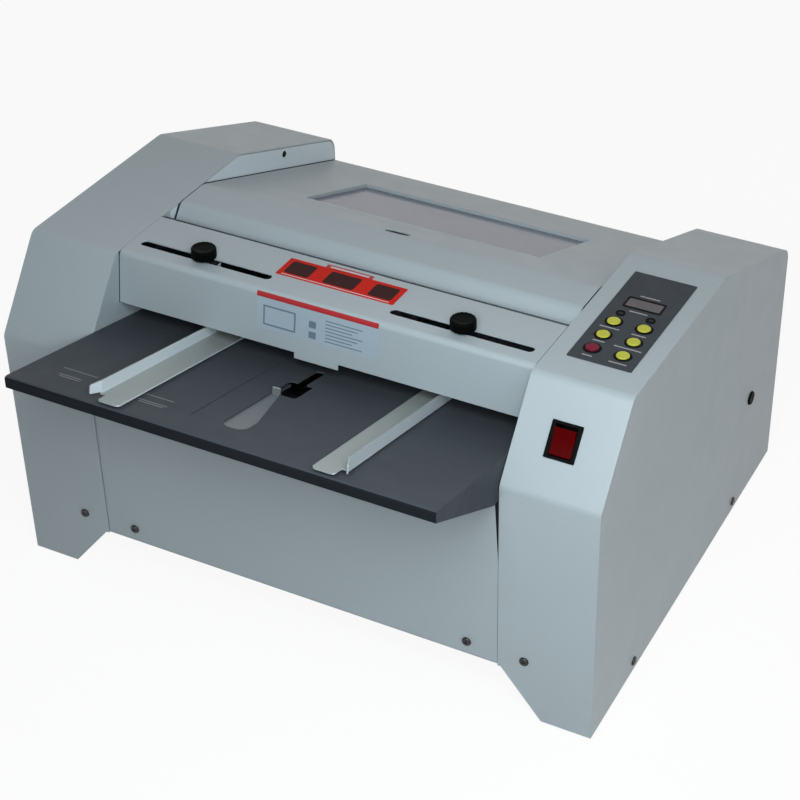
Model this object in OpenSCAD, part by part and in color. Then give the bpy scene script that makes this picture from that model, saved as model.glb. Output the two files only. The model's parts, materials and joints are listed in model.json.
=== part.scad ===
// Desktop booklet maker in millimetres, +Z up, +X right, +Y to the back.
// Sheets slide down the tray, are stapled on their middle line, then folded by a knife and two rollers.
// The origin is on the floor, under the middle of the machine.

/* [Housing] */
// Overall width over both side covers
body_w = 580; // [560:1:620]
// Depth of the side covers
body_d = 450; // [440:1:480]
// Width of each side cover
pod_w = 89; // [85:1:100]
// Height of the upright front faces
front_h = 250; // [245:1:260]
// Rise of the switch face
switch_rise = 77; // [72:1:84]
// Depth of the switch face
switch_run = 60; // [50:1:64]
// Depth of the control face
control_run = 209; // [200:1:220]
// Fall of the control face towards the back
control_fall = 8; // [2:0.5:10]
// Slope of the top towards the back, in degrees
top_slope = 22.5; // [20:0.5:23]
// Bend radius of the side covers
bend_r = 10; // [4:1:14]
// Radius of the back top corner of the side covers
back_r = 18; // [8:1:22]
// Thickness of covers and panels
sheet = 1.5; // [1.2:0.1:1.8]
// Thickness of the side frames
frame_t = 2; // [1.5:0.1:3]
// Open seam between neighbouring sheets
seam = 0.5; // [0.3:0.1:0.8]

/* [Base] */
// Flat width of each foot
foot_w = 47; // [40:1:52]
// Height of the rubber feet
foot_h = 3; // [2:0.5:5]
// Diameter of the rubber feet
foot_dia = 30; // [20:1:36]
// Height of the underside between the feet
belly_h = 52; // [44:1:56]
// Thickness of the base pan
pan_t = 2; // [1.5:0.1:2.5]
// Height of the upright lips of the base pan
pan_lip = 26; // [22:1:30]

/* [Tray] */
// Reach of the tray in front of the side covers
tray_reach = 110; // [90:1:130]
// Height of the front edge of the tray
tray_front_z = 304; // [300:0.5:306]
// Slope of the tray and the paper bed towards the back, in degrees
tray_slope = 15; // [14:0.5:16]
// Height of the front lip of the tray
tray_lip = 11.5; // [8:0.5:16]
// Where the tray ends behind the front faces
tray_end_y = 97; // [92:1:100]
// Deepest point of the side flanges of the tray
tray_flange_z = 235; // [232:0.5:240]
// Sideways place of the tray slot
slot_x = -0.5; // [-6:0.5:6]
// Width of the tray slot
slot_w = 23; // [18:1:26]
// Start of the tray slot, from the front edge
slot_start = 33; // [26:1:40]
// Length of the tapered part of the tray slot
slot_taper = 84; // [76:1:88]
// Length of the pocket behind the taper
slot_pocket = 33; // [28:1:36]
// Length of the slit behind the pocket
slot_slit = 34; // [26:1:38]
// Width of the slit
slit_w = 8.5; // [7:0.5:10]
// Width of the pusher's tab
pusher_tab_w = 8; // [6:0.5:10]
// Height of the pusher's tab over the tray
pusher_tab_h = 5; // [3:0.5:8]

/* [Guides] */
// Distance of the guide walls from the middle
guide_x = 114.5; // [110:0.5:120]
// Width of the guide flanges
guide_flange = 25; // [20:1:30]
// Height of the guide walls at the front
guide_front_h = 13; // [11:0.5:16]
// Height of the guide walls at the back
guide_back_h = 11; // [8:0.5:11.5]
// Length of the flared ear at the front of each guide wall
guide_ear = 11; // [8:0.5:13]
// Flare of the ears, in degrees
ear_flare = 25; // [15:1:35]
// Gap between tray and guides
guide_lift = 2; // [1:0.5:3]
// Thickness of the guide sheet
guide_t = 1.5; // [1.2:0.1:2]
// Diameter of the clamp knobs
knob_dia = 22.5; // [20:0.5:28]
// Height of the clamp knobs over the cover
knob_h = 11.5; // [10:0.5:16]
// Diameter of the clamp studs
stud_dia = 6; // [5:0.5:6]
// Length of each guide slot
guide_slot_len = 133; // [120:1:135]
// Width of each guide slot
guide_slot_w = 9; // [6.5:0.1:10]
// Distance of the guide slots from the ends of the front cover
guide_slot_end = 10; // [6:0.5:14]

/* [Front cover] */
// Front fold of the cover, behind the front faces
cover_front_y = 66; // [62:1:70]
// Back fold of the cover, behind the front faces
cover_back_y = 137; // [132:1:140]
// Height of the front face of the cover
cover_face_h = 50; // [46:0.5:53]
// Bend radius of the folds of the cover
cover_r = 6; // [3:0.5:8]
// How far the front face leans forward at its lower edge
cover_lean = 8; // [4:0.5:10]
// Width of the middle tab
cover_tab_w = 43; // [30:1:46]
// Drop of the middle tab
cover_tab_h = 5.5; // [3:0.5:6]
// Depth of the gutter between the cover and the lid
gutter_d = 24; // [20:0.5:28]
// Width of the gutter ledge
gutter_w = 19; // [16:0.5:22]

/* [Lid] */
// Front bend of the lid, behind the front faces
lid_front_y = 164; // [160:1:168]
// Where the level part of the lid ends
lid_break_y = 203; // [198:1:210]
// Forward run of the lid's nose
nose_run = 16; // [12:0.5:18]
// Gap between the lid and the side frames
lid_gap = 1.5; // [0.8:0.1:2]
// Width of the window
window_w = 240; // [200:1:260]
// Length of the window along the slope
window_l = 129; // [110:1:135]
// Start of the window behind the level part
window_start = 54; // [45:1:60]
// Thickness of the window pane
pane_t = 3; // [2:0.5:4]
// Rim of the pane under the lid
pane_rim = 8; // [5:1:12]
// Depth of the edge that is turned down round the window
window_edge = 3.5; // [2:0.5:5]
// Width of the finger hole
finger_w = 25; // [16:1:28]
// Depth of the finger hole
finger_d = 11; // [9:0.5:13]
// Diameter of the hinge pins
hinge_pin_dia = 4; // [3:0.5:4.5]
// Length of each hinge
hinge_len = 60; // [45:1:75]
// Distance of the hinges from the middle
hinge_x = 125; // [100:1:140]

/* [Controls] */
// Width of the control overlay
overlay_w = 57; // [52:1:60]
// Length of the control overlay
overlay_l = 148; // [144:1:154]
// Start of the control overlay behind the front edge of the control face
overlay_start = 32; // [28:1:36]
// Thickness of the control overlay
overlay_t = 0.8; // [0.5:0.1:1.2]
// Diameter of the button caps
button_dia = 11.4; // [10:0.1:13.6]
// Height of the button caps over the control face
button_h = 2.4; // [2.2:0.1:4]
// Travel of the buttons
button_travel = 1.2; // [0.8:0.1:1.5]
// Distance between the two button columns
button_dx = 27; // [25:0.5:29]
// Distance between the button rows
button_dy = 22.7; // [20:0.1:24]
// First button row behind the front edge of the control face
button_start = 50.5; // [47:0.5:54]
// Width of the display lens
display_w = 33.5; // [28:0.5:38]
// Depth of the display lens
display_d = 16; // [12:0.5:18]
// Middle of the display behind the front edge of the control face
display_y = 130.5; // [126:0.5:134]
// Middle of the indicator lamps behind the front edge of the control face
lamp_y = 110.5; // [108:0.5:112]
// Diameter of the indicator lamps
lamp_dia = 5; // [3:0.5:6]
// Width of the power switch
switch_w = 26.7; // [24:0.1:28]
// Height of the power switch
switch_l = 31.5; // [29:0.5:33]
// Tilt of the rocker to each side, in degrees
rocker_tilt = 8; // [6:0.5:9]

/* [Stapling] */
// Staple line behind the front faces
staple_y = 175; // [170:1:180]
// Distance of each staple head from the middle
staple_x = 60; // [50:1:70]
// Width of the staple heads
head_w = 28; // [24:1:32]
// Travel of the staple drivers
driver_travel = 14; // [10:0.5:15]

/* [Folding] */
// Fold line behind the front faces
fold_y = 290; // [285:1:300]
// Diameter of the fold rollers
roller_dia = 32; // [28:1:34]
// Gap between the fold rollers
nip_gap = 0.6; // [0.4:0.1:1]
// Depth of the roller axes under the bed
roller_drop = 25; // [24:0.5:28]
// Diameter of shafts
shaft_dia = 12; // [10:0.5:12]
// Stroke angle of the knife rocker, in degrees
rocker_swing = 40; // [30:1:44]
// Length of the knife rocker's arms
arm_len = 35; // [32:0.5:38]
// Thickness of the knife blade
blade_t = 1.5; // [1:0.1:1.8]
// Teeth of each roller gear
roller_teeth = 20; // [18:2:24]
// Teeth of the drive gear
drive_teeth = 48; // [40:2:48]
// Teeth of the motor pinion
pinion_teeth = 16; // [16:1:20]
// Gear module of drive gear and pinion
drive_module = 1.4; // [1.2:0.1:1.5]
// Width of the gears
gear_w = 8; // [6:0.5:9]
// Diameter of the motor
motor_dia = 50; // [40:1:54]
// Length of the motor
motor_len = 54; // [44:1:55]
// Setting range of the paper stop towards the front
stop_range = 45; // [30:1:50]
// Setting range of the paper stop towards the back
stop_back = 25; // [10:1:28]

/* [Rear] */
// Width of the exit slot
exit_w = 330; // [320:1:350]
// Height of the exit slot
exit_h = 36; // [28:1:38]
// Diameter of the fuse cap
fuse_dia = 14; // [12:0.5:16]

/* [Clearances] */
// Running clearance on the radius of shafts, pins and studs
run_fit = 0.05; // [0.02:0.01:0.08]
// Sliding clearance between moving pieces
slide_fit = 0.3; // [0.25:0.05:0.4]

/* [Hidden] */
$fn = 48;
bend_steps = 6;
eps = 0.01;

// Housing outline, in depth and height
inner_x = body_w / 2 - pod_w;
pod_mid = inner_x + pod_w / 2;
switch_top_z = front_h + switch_rise;
control_back_y = switch_run + control_run;
control_back_z = switch_top_z - control_fall;
back_top_z = control_back_z - (body_d - control_back_y) * tan(top_slope);
switch_angle = atan2(switch_rise, switch_run);
switch_face_l = norm([switch_run, switch_rise]);
control_angle = atan2(control_fall, control_run);
pod_radii = [0, 0, back_r, 2.5 * bend_r, bend_r, bend_r];
pan_top = belly_h + pan_t;
wing_x = inner_x + frame_t + 1;
foot_in = body_w / 2 - foot_w;
foot_out = body_w / 2 - sheet - slide_fit;

// Fasteners of the housing
screw_z = 67;
side_screw_z = 14;
side_screw_y = [95, 345];
pod_screw_x = inner_x + 25;
panel_screw_x = inner_x - 30;
screw_head_r = 4.4;
screw_head_h = 2.2;
screw_r = 1.5;
screw_len = 7;
screw_gap = 0.15;
panel_set = 1;
pan_set = sheet + seam;

// Tie bars between the side frames, and the hole in the frames
front_bar_y = 40;
front_bar_z = 95;
mid_bar_y = 150;
mid_bar_z = 150;
back_bar_y = body_d - 50;
back_bar_z = 122;
frame_hole_y = 350;
frame_hole_drop = 42;
frame_hole_r = 3;

// Tray and guides
tray_x = inner_x - 0.8;
tray_len = (tray_end_y + tray_reach) / cos(tray_slope);
groove_x = -39;
groove_w = 1.6;
groove_d = 0.6;
pusher_t = 2;
pusher_rim = 4;
pusher_w = slot_w + 2 * pusher_rim;
pusher_top = -sheet - slide_fit;
pusher_start = slot_start - pusher_rim;
pusher_len = slot_taper + pusher_rim + pusher_t;
guide_start = 3;
guide_back_s = 203;
ear_s = guide_start + 13;
ear_drop = 2.5;
relief_w = 4.5;
riser_w = 16;
knob_x = guide_x + 11.5;
stud_along = 27;
tab_t = 2.5;
tab_top = -sheet - slide_fit;
guide_slot_mid = inner_x - guide_slot_end - guide_slot_len / 2;
flange_front_y = -8;
flange_back_y = 60;
flange_end_y = tray_end_y - 4;
pad_y = 20;
pad_l = 40;
pad_h = 8;

// Lid
lid_x = inner_x - lid_gap;
lid_back_y = body_d - 1;
lid_flange = 8.5;
slope_len = (lid_back_y - lid_break_y) / cos(top_slope);
hinge_r = hinge_pin_dia / 2 + 2;
hinge_y = lid_back_y - sheet - hinge_r;
lid_back_z = control_z(lid_break_y) - (lid_back_y - lid_break_y) * tan(top_slope);
hinge_z = lid_back_z - lid_flange - 2;
hinge_seat_z = hinge_z - 8;
nose_z = control_z(cover_back_y) - gutter_d + 2 * sheet + slide_fit;

// Controls
button_rows = 3;
bezel_wall = 0.8;
bezel_r = button_dia / 2 + slide_fit + bezel_wall;
bezel_rim = 0.6;
button_depth = 7;
rocker_w = switch_w - 8;
rocker_l = switch_l - 8;
rocker_pivot = -5;
bezel_t = 2;
switch_x = pod_mid - 2;
control_corner = 0.8;
switch_body_w = switch_w - 4;
switch_body_l = switch_l - 3.5;
switch_depth = 20;
fuse_y = 372;
fuse_z = 121;

// Stapling, in bed coordinates from the fold line
staple_s = (staple_y - fold_y) / cos(tray_slope);
cheek_t = 2;
head_back = staple_s + 24;
beam_s = head_back + 2;
beam_w = 40;
beam_n = 45;
beam_h = 25;
beam_t = 2.5;
driver_w = head_w - 2 * cheek_t - 2 * slide_fit;
driver_rest = 32;
driver_h = 46;

// Folding, in bed coordinates from the fold line
bed_start = (tray_end_y + seam - fold_y) / cos(tray_slope);
bed_end = 140;
bed_flange = 10;
axis_gap = roller_dia + nip_gap;
roller_x = inner_x - 16;
roller_module = axis_gap / roller_teeth;
bush_r = shaft_dia / 2 + 3;
bush_flange_r = shaft_dia / 2 + 6;
bush_flange_t = 2;
stroke = 2 * arm_len * sin(rocker_swing / 2);
knife_tip = 5;
knife_pin_n = knife_tip + 43;
pin_r = 3;
carrier_half = 8;
carrier_x = 135;
fold_slot_x = carrier_x + 45;
tongue_half = 5;
tongue_h = 12;
arm_t = 6;
arm_x = carrier_x + 1;
rocker_s = arm_len * cos(rocker_swing / 2);
rocker_n = knife_pin_n - stroke / 2;
roller_gear_x = inner_x + frame_t + 4;
drive_gear_x = roller_gear_x + gear_w + 4;
drive_axis_gap = drive_module * (drive_teeth + pinion_teeth) / 2;
motor_x = drive_gear_x + gear_w + 2 + frame_t;
motor_shaft_dia = 8;
gear_backlash = 0.5;
bracket_w = 96;
bracket_low = 42;
bracket_high = 12;

// Paper stop, in bed coordinates from the fold line
rod_x = 80;
rod_dia = 8;
rod_n = -13;
rod_front_s = 36;
stop_s = 100;
carriage_l = 14;
carriage_h = 12;
leg_w = 6;

// Exit
chute_front_y = fold_y - 38;
chute_top_z = 140;
chute_r = 60;
chute_z = 62;
exit_z = chute_z + sheet + 1;
inlet_x = inner_x - 51;
inlet_z = 122;
inlet_w = 28;
inlet_h = 20;

// Electrics in the right-hand side cover
board_y = 100;
board_z = 165;
board_l = 110;
board_h = 85;
board_t = 1.6;
board_stand = 8;
supply_y = 250;
supply_z = 80;
supply_w = 46;
supply_l = 95;
supply_h = 60;

// Heights of the control face and of the paper path at a depth y
function control_z(y) = switch_top_z - (y - switch_run) * control_fall / control_run;
function bed_z(y) = tray_front_z - (y + tray_reach) * tan(tray_slope);

// Plane geometry for outlines and bent sheets
function unit(v) = v / norm(v);
function less(list, t) = [for (v = list) v - t];
function reversed(list) = [for (i = [len(list) - 1 : -1 : 0]) list[i]];
function cross_of(a, b) = a.x * b.y - a.y * b.x;
function left_of(a, b) = let (d = unit(b - a)) [-d.y, d.x];
// Point where the line through p along u meets the line through q along v
function meet(p, u, q, v) = p + u * cross_of(q - p, v) / cross_of(u, v);
// Arc that rounds the corner b between a and c
function corner_arc(a, b, c, r) =
    let (
        u = unit(a - b),
        v = unit(c - b),
        half = acos(u * v) / 2,
        centre = b + unit(u + v) * r / sin(half),
        start = b + u * r / tan(half) - centre,
        from = atan2(start.y, start.x),
        sweep = (180 - 2 * half) * sign(cross_of(b - a, c - b))
    )
    [for (i = [0 : bend_steps]) centre + r * [cos(from + sweep * i / bend_steps), sin(from + sweep * i / bend_steps)]];
// Closed outline moved inwards by t, with its points anticlockwise
function inset(pts, t) =
    let (n = len(pts))
    [
        for (i = [0 : n - 1])
            let (a = pts[(i + n - 1) % n], b = pts[i], c = pts[(i + 1) % n])
            meet(b + t * left_of(a, b), b - a, b + t * left_of(b, c), c - b)
    ];
function rounded(pts, radii) =
    let (n = len(pts))
    [
        for (i = [0 : n - 1])
            each radii[i] <= 0 ? [pts[i]] : corner_arc(pts[(i + n - 1) % n], pts[i], pts[(i + 1) % n], radii[i])
    ];
// Open path moved to its right-hand side by t
function beside(path, t) =
    let (last = len(path) - 1)
    [
        for (i = [0 : last])
            i == 0 ? path[0] - t * left_of(path[0], path[1])
            : i == last ? path[last] - t * left_of(path[last - 1], path[last])
            : meet(path[i] - t * left_of(path[i - 1], path[i]), path[i] - path[i - 1],
                   path[i] - t * left_of(path[i], path[i + 1]), path[i + 1] - path[i])
    ];
function round_path(path, radii) =
    [
        for (i = [0 : len(path) - 1])
            each radii[i] <= 0 ? [path[i]] : corner_arc(path[i - 1], path[i], path[i + 1], radii[i])
    ];
// Section of a sheet of thickness t that follows a path, on the right-hand side of it
function bent(path, radii, t) =
    concat(round_path(path, radii), reversed(round_path(beside(path, t), less(radii, t))));
// Outline of the side covers, moved inwards by t and ending at the height bottom
function pod_outline(bottom, t) =
    rounded(
        inset([
            [0, bottom - t],
            [body_d, bottom - t],
            [body_d, back_top_z],
            [control_back_y, control_back_z],
            [switch_run, switch_top_z],
            [0, front_h]
        ], t),
        less(pod_radii, t)
    );
function rounded_rect(w, l, r) =
    rounded([[-w / 2, -l / 2], [w / 2, -l / 2], [w / 2, l / 2], [-w / 2, l / 2]], [r, r, r, r]);

// Involute gear outline
function involute(a) = tan(a) * 180 / PI - a;
function tooth_half(r, teeth, m) =
    let (base_r = m * teeth / 2 * cos(20))
    90 / teeth - gear_backlash + involute(20) - (r > base_r ? involute(acos(base_r / r)) : 0);
function gear_outline(teeth, m) =
    let (
        pitch_r = m * teeth / 2,
        levels = [-1.2, -0.6, 0, 0.45, 0.9],
        radii = [for (k = levels) pitch_r + k * m]
    )
    [
        for (i = [0 : teeth - 1])
            let (mid = i * 360 / teeth)
            each concat(
                [for (r = radii) r * [cos(mid - tooth_half(r, teeth, m)), sin(mid - tooth_half(r, teeth, m))]],
                [for (r = reversed(radii)) r * [cos(mid + tooth_half(r, teeth, m)), sin(mid + tooth_half(r, teeth, m))]]
            )
    ];

// Placing
module placed() translate([0, (tray_reach - body_d) / 2, 0]) children();
module both_sides() {
    children();
    mirror([1, 0, 0]) children();
}
// Outline in depth and height, extruded along X from x
module across(x, w) translate([x, 0, 0]) rotate([90, 0, 90]) linear_extrude(height = w) children();
// Outline in width and height, extruded along Y from y
module deep(y, d) translate([0, y + d, 0]) rotate([90, 0, 0]) linear_extrude(height = d) children();
module on_tray() translate([0, -tray_reach, tray_front_z]) rotate([-tray_slope, 0, 0]) children();
module on_bed() translate([0, fold_y, bed_z(fold_y)]) rotate([-tray_slope, 0, 0]) children();
module on_control() translate([0, switch_run, switch_top_z]) rotate([-control_angle, 0, 0]) children();
module on_switch() translate([switch_x, 0, front_h]) rotate([switch_angle, 0, 0]) translate([0, switch_face_l / 2, 0]) children();
module on_lid() translate([0, lid_break_y, control_z(lid_break_y)]) rotate([-top_slope, 0, 0]) children();
// Cylinder along X from x
module rod(x, len, r) translate([x, 0, 0]) rotate([0, 90, 0]) cylinder(h = len, r = r);
// Block given by its low corner and size
module block(at, size) translate(at) cube(size);
// Slot with round ends along X, cut through z from low to high
module slot_x_cut(len, w, low, high) {
    block([-len / 2 + w / 2, -w / 2, low], [len - w, w, high - low]);
    for (s = [-1, 1]) translate([s * (len - w) / 2, 0, low]) cylinder(h = high - low, d = w);
}
module at_screws() {
    both_sides() {
        translate([pod_screw_x, 0, screw_z]) rotate([90, 0, 0]) children();
        translate([panel_screw_x, panel_set, screw_z]) rotate([90, 0, 0]) children();
        for (y = side_screw_y) translate([body_w / 2, y, side_screw_z]) rotate([0, 90, 0]) children();
    }
}
module screw_holes() at_screws() translate([0, 0, -screw_len - 1]) cylinder(h = screw_len + 2, r = screw_r + screw_gap);
module at_buttons() {
    on_control()
        for (column = [-1, 1], row = [0 : button_rows - 1])
            translate([pod_mid + column * button_dx / 2, button_start + row * button_dy, 0]) children();
}
module at_button(column, row) {
    on_control() translate([pod_mid + column * button_dx / 2, button_start + row * button_dy, 0]) children();
}
module at_lamps() {
    on_control() for (column = [-1, 1]) translate([pod_mid + column * button_dx / 2, lamp_y, 0]) children();
}
module at_roller(side) on_bed() translate([0, side * axis_gap / 2, -roller_drop]) children();
module at_knife_rocker() on_bed() translate([0, rocker_s, rocker_n]) children();

// Base
module base_pan() {
    path = [
        [-foot_out, foot_h + pan_lip], [-foot_out, foot_h], [-foot_in, foot_h], [-wing_x, belly_h],
        [wing_x, belly_h], [foot_in, foot_h], [foot_out, foot_h], [foot_out, foot_h + pan_lip]
    ];
    lip_x = inner_x - 11;
    rear_lip_x = exit_w / 2 + 4;
    color("gainsboro") difference() {
        union() {
            deep(pan_set, body_d - 2 * pan_set) polygon(concat(path, reversed(beside(path, -pan_t))));
            block([-lip_x, panel_set + sheet, pan_top - eps], [2 * lip_x, pan_t, pan_lip]);
            both_sides() block(
                [rear_lip_x, body_d - panel_set - sheet - pan_t, pan_top - eps],
                [lip_x - rear_lip_x, pan_t, pan_lip]
            );
        }
        screw_holes();
    }
}
module rubber_feet() {
    color("dimgray") both_sides()
        for (y = [foot_dia, body_d - foot_dia])
            translate([(foot_in + foot_out) / 2, y, 0]) cylinder(h = foot_h, d = foot_dia);
}

// Right-hand side frame with its front and back flanges
module side_frame() {
    edge = sheet + seam;
    flange_w = 34;
    flange_z = pan_top + 8;
    difference() {
        union() {
            across(inner_x, frame_t) polygon(pod_outline(pan_top, edge));
            block([inner_x, edge, flange_z], [flange_w, frame_t, front_h - bend_r - flange_z]);
            block([inner_x, body_d - edge - frame_t, flange_z], [flange_w, frame_t, back_top_z - back_r - flange_z]);
        }
        for (side = [-1, 1]) at_roller(side) rod(inner_x - 1, frame_t + 2, bush_r);
        at_knife_rocker() rod(inner_x - 1, frame_t + 2, bush_r);
        on_bed() block(
            [inner_x - 1, -tongue_half - slide_fit, knife_pin_n - tongue_h / 2 - stroke - 1],
            [frame_t + 2, 2 * (tongue_half + slide_fit), tongue_h + stroke + 2]
        );
        translate([0, frame_hole_y, control_back_z - frame_hole_drop]) rod(inner_x - 1, frame_t + 2, frame_hole_r);
        screw_holes();
    }
}
module left_side_frame() color("lightsteelblue") mirror([1, 0, 0]) side_frame();
module right_side_frame() color("lightsteelblue") side_frame();

// Right-hand side cover: one bent sheet with its outer wall, open to the frame and at the bottom
module side_cover() {
    difference() {
        across(inner_x, pod_w) polygon(pod_outline(foot_h, 0));
        across(inner_x - 1, pod_w + 1 - sheet) polygon(pod_outline(foot_h - 5, sheet));
        deep(-1, body_d + 2) polygon([
            [inner_x - 1, foot_h - 1], [foot_in, foot_h - 1], [foot_in, foot_h], [wing_x, belly_h], [inner_x - 1, belly_h]
        ]);
        screw_holes();
    }
}
module left_side_cover() color("lightsteelblue") mirror([1, 0, 0]) side_cover();
module right_side_cover() {
    color("lightsteelblue") difference() {
        side_cover();
        at_buttons() translate([0, 0, -sheet - 1]) cylinder(h = sheet + 2, r = bezel_r + screw_gap);
        at_lamps() translate([0, 0, -sheet - 1]) cylinder(h = sheet + 2, d = lamp_dia + 2 * screw_gap);
        on_control() block(
            [pod_mid - display_w / 2 + 1.5, display_y - display_d / 2 + 1.5, -sheet - 1],
            [display_w - 3, display_d - 3, sheet + 2]
        );
        on_switch() block(
            [-switch_body_w / 2 - screw_gap, -switch_body_l / 2 - screw_gap, -sheet - 1],
            [switch_body_w + 2 * screw_gap, switch_body_l + 2 * screw_gap, sheet + 2]
        );
        translate([body_w / 2 - sheet - 1, fuse_y, fuse_z]) rotate([0, 90, 0])
            cylinder(h = sheet + 2, d = fuse_dia - 2 + 2 * screw_gap);
    }
}

// Front panel with return flanges, notched at its upper corners for the flanges of the tray
module front_panel() {
    half = inner_x - seam;
    upper = tray_x - sheet - 3;
    notch_z = tray_flange_z - 2;
    top_z = bed_z(panel_set) - sheet - 14;
    color("lightsteelblue") difference() {
        union() {
            deep(panel_set, sheet) polygon([
                [-half, pan_top], [half, pan_top], [half, notch_z], [upper, notch_z],
                [upper, top_z], [-upper, top_z], [-upper, notch_z], [-half, notch_z]
            ]);
            both_sides() block([half - sheet, panel_set, pan_top + 8], [sheet, 16, notch_z - pan_top - 16]);
        }
        screw_holes();
    }
}
// Rear panel with exit slot, vents and the seat of the lid hinges
module rear_panel() {
    half = inner_x - seam;
    face_y = body_d - panel_set - sheet;
    vent_w = 60;
    return_z = exit_z + exit_h + 4;
    color("lightsteelblue") difference() {
        union() {
            block([-half, face_y, pan_top], [2 * half, sheet, hinge_seat_z - pan_top]);
            block([-half, face_y - 24, hinge_seat_z - sheet], [2 * half, 24 + sheet, sheet]);
            both_sides() block([half - sheet, face_y - 15, return_z], [sheet, 15 + eps, hinge_seat_z - return_z - 12]);
        }
        block([-exit_w / 2, face_y - 1, exit_z], [exit_w, sheet + 2, exit_h]);
        translate([inlet_x, face_y - 1, inlet_z]) rotate([-90, 0, 0])
            linear_extrude(height = sheet + 2) square([inlet_w + 2 * screw_gap, inlet_h + 2 * screw_gap], center = true);
        for (row = [0 : 4])
            translate([-inlet_x, face_y - 1, inlet_z - 2 + row * 11]) rotate([-90, 0, 0])
                slot_x_cut(vent_w, 4, 0, sheet + 2);
    }
}
module housing_screws() {
    color("silver") at_screws() {
        difference() {
            rotate_extrude() polygon(round_path(
                [[0, 0], [screw_head_r, 0], [screw_head_r, screw_head_h], [0, screw_head_h]],
                [0, 0, screw_head_h - 0.4, 0]
            ));
            for (a = [0, 90]) rotate(a) block([-2.2, -0.4, screw_head_h - 1], [4.4, 0.8, 2]);
        }
        translate([0, 0, -screw_len]) cylinder(h = screw_len + eps, r = screw_r);
    }
}
module tie_bars() {
    color("silver")
        for (at = [[front_bar_y, front_bar_z], [mid_bar_y, mid_bar_z], [back_bar_y, back_bar_z]])
            translate([0, at.x, at.y]) rod(-inner_x, 2 * inner_x, shaft_dia / 2);
}

// Outline of the tray slot: round front end, taper on the right, pocket and slit
module tray_slot() {
    half = slot_w / 2;
    front_r = 0.8 * half;
    slit_half = slit_w / 2;
    slit_r = 0.8 * slit_half;
    pocket_s = slot_start + slot_taper;
    slit_s = pocket_s + slot_pocket;
    slit_end = slit_s + slot_slit;
    corner_r = 4;
    translate([slot_x, 0]) polygon(rounded([
        [-half, slot_start], [half, slot_start], [half, slot_start + slot_w],
        [pusher_tab_w - half + slide_fit, pocket_s], [half, pocket_s], [half, slit_s],
        [slit_half, slit_s], [slit_half, slit_end], [-slit_half, slit_end], [-slit_half, slit_s], [-half, slit_s]
    ], [front_r, front_r, slot_w, 0, corner_r, corner_r, 0, slit_r, slit_r, 0, corner_r]));
}
// Input tray: bent sheet with lip, tapering side flanges, slot and the keepers of the pusher
module input_tray() {
    lip_z = tray_front_z - tray_lip;
    path = [[-tray_reach, lip_z], [-tray_reach, tray_front_z], [tray_end_y, bed_z(tray_end_y)]];
    keeper_x = pusher_w / 2 + slide_fit;
    keeper_n = pusher_top - pusher_t - slide_fit - sheet;
    keeper_len = slot_taper + slot_pocket + pusher_rim;
    keeper_foot = 5;
    side_y = -tray_reach + seam;
    flange_end_z = bed_z(flange_end_y);
    color([0.25, 0.27, 0.29]) difference() {
        union() {
            across(-tray_x, 2 * tray_x) polygon(bent(path, [0, 3, 0], sheet));
            both_sides() across(tray_x - sheet, sheet) polygon([
                [side_y, tray_front_z - 1], [side_y, lip_z], [flange_front_y, tray_flange_z],
                [flange_back_y, tray_flange_z], [flange_end_y, flange_end_z - 4], [flange_end_y, flange_end_z - sheet / 2]
            ]);
            both_sides() block([tray_x - eps, pad_y, tray_flange_z + 3], [inner_x - tray_x + eps, pad_l, pad_h]);
            on_tray() translate([slot_x, pusher_start, 0]) for (side = [0, 1]) mirror([side, 0, 0]) {
                block([keeper_x, 0, keeper_n], [sheet, keeper_len, -keeper_n - sheet / 2]);
                block([keeper_x - keeper_foot, 0, keeper_n], [sheet + keeper_foot, keeper_len, sheet]);
            }
        }
        on_tray() translate([0, 0, -sheet - 1]) linear_extrude(height = sheet + 2) tray_slot();
        on_tray() block([groove_x - groove_w / 2, slot_start, -groove_d], [groove_w, tray_len, 1]);
    }
}
// Pusher plate under the tray slot with a round front end and a small upright tab
module stack_pusher() {
    color("silver") on_tray() translate([slot_x, pusher_start, pusher_top - pusher_t]) {
        block([-pusher_w / 2, pusher_w / 2, 0], [pusher_w, pusher_len - pusher_w / 2, pusher_t]);
        translate([0, pusher_w / 2, 0]) cylinder(h = pusher_t, d = pusher_w);
        block(
            [-slot_w / 2 + slide_fit, pusher_len - pusher_t, 0],
            [pusher_tab_w - slide_fit, pusher_t, pusher_t - pusher_top + pusher_tab_h]
        );
    }
}

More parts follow.
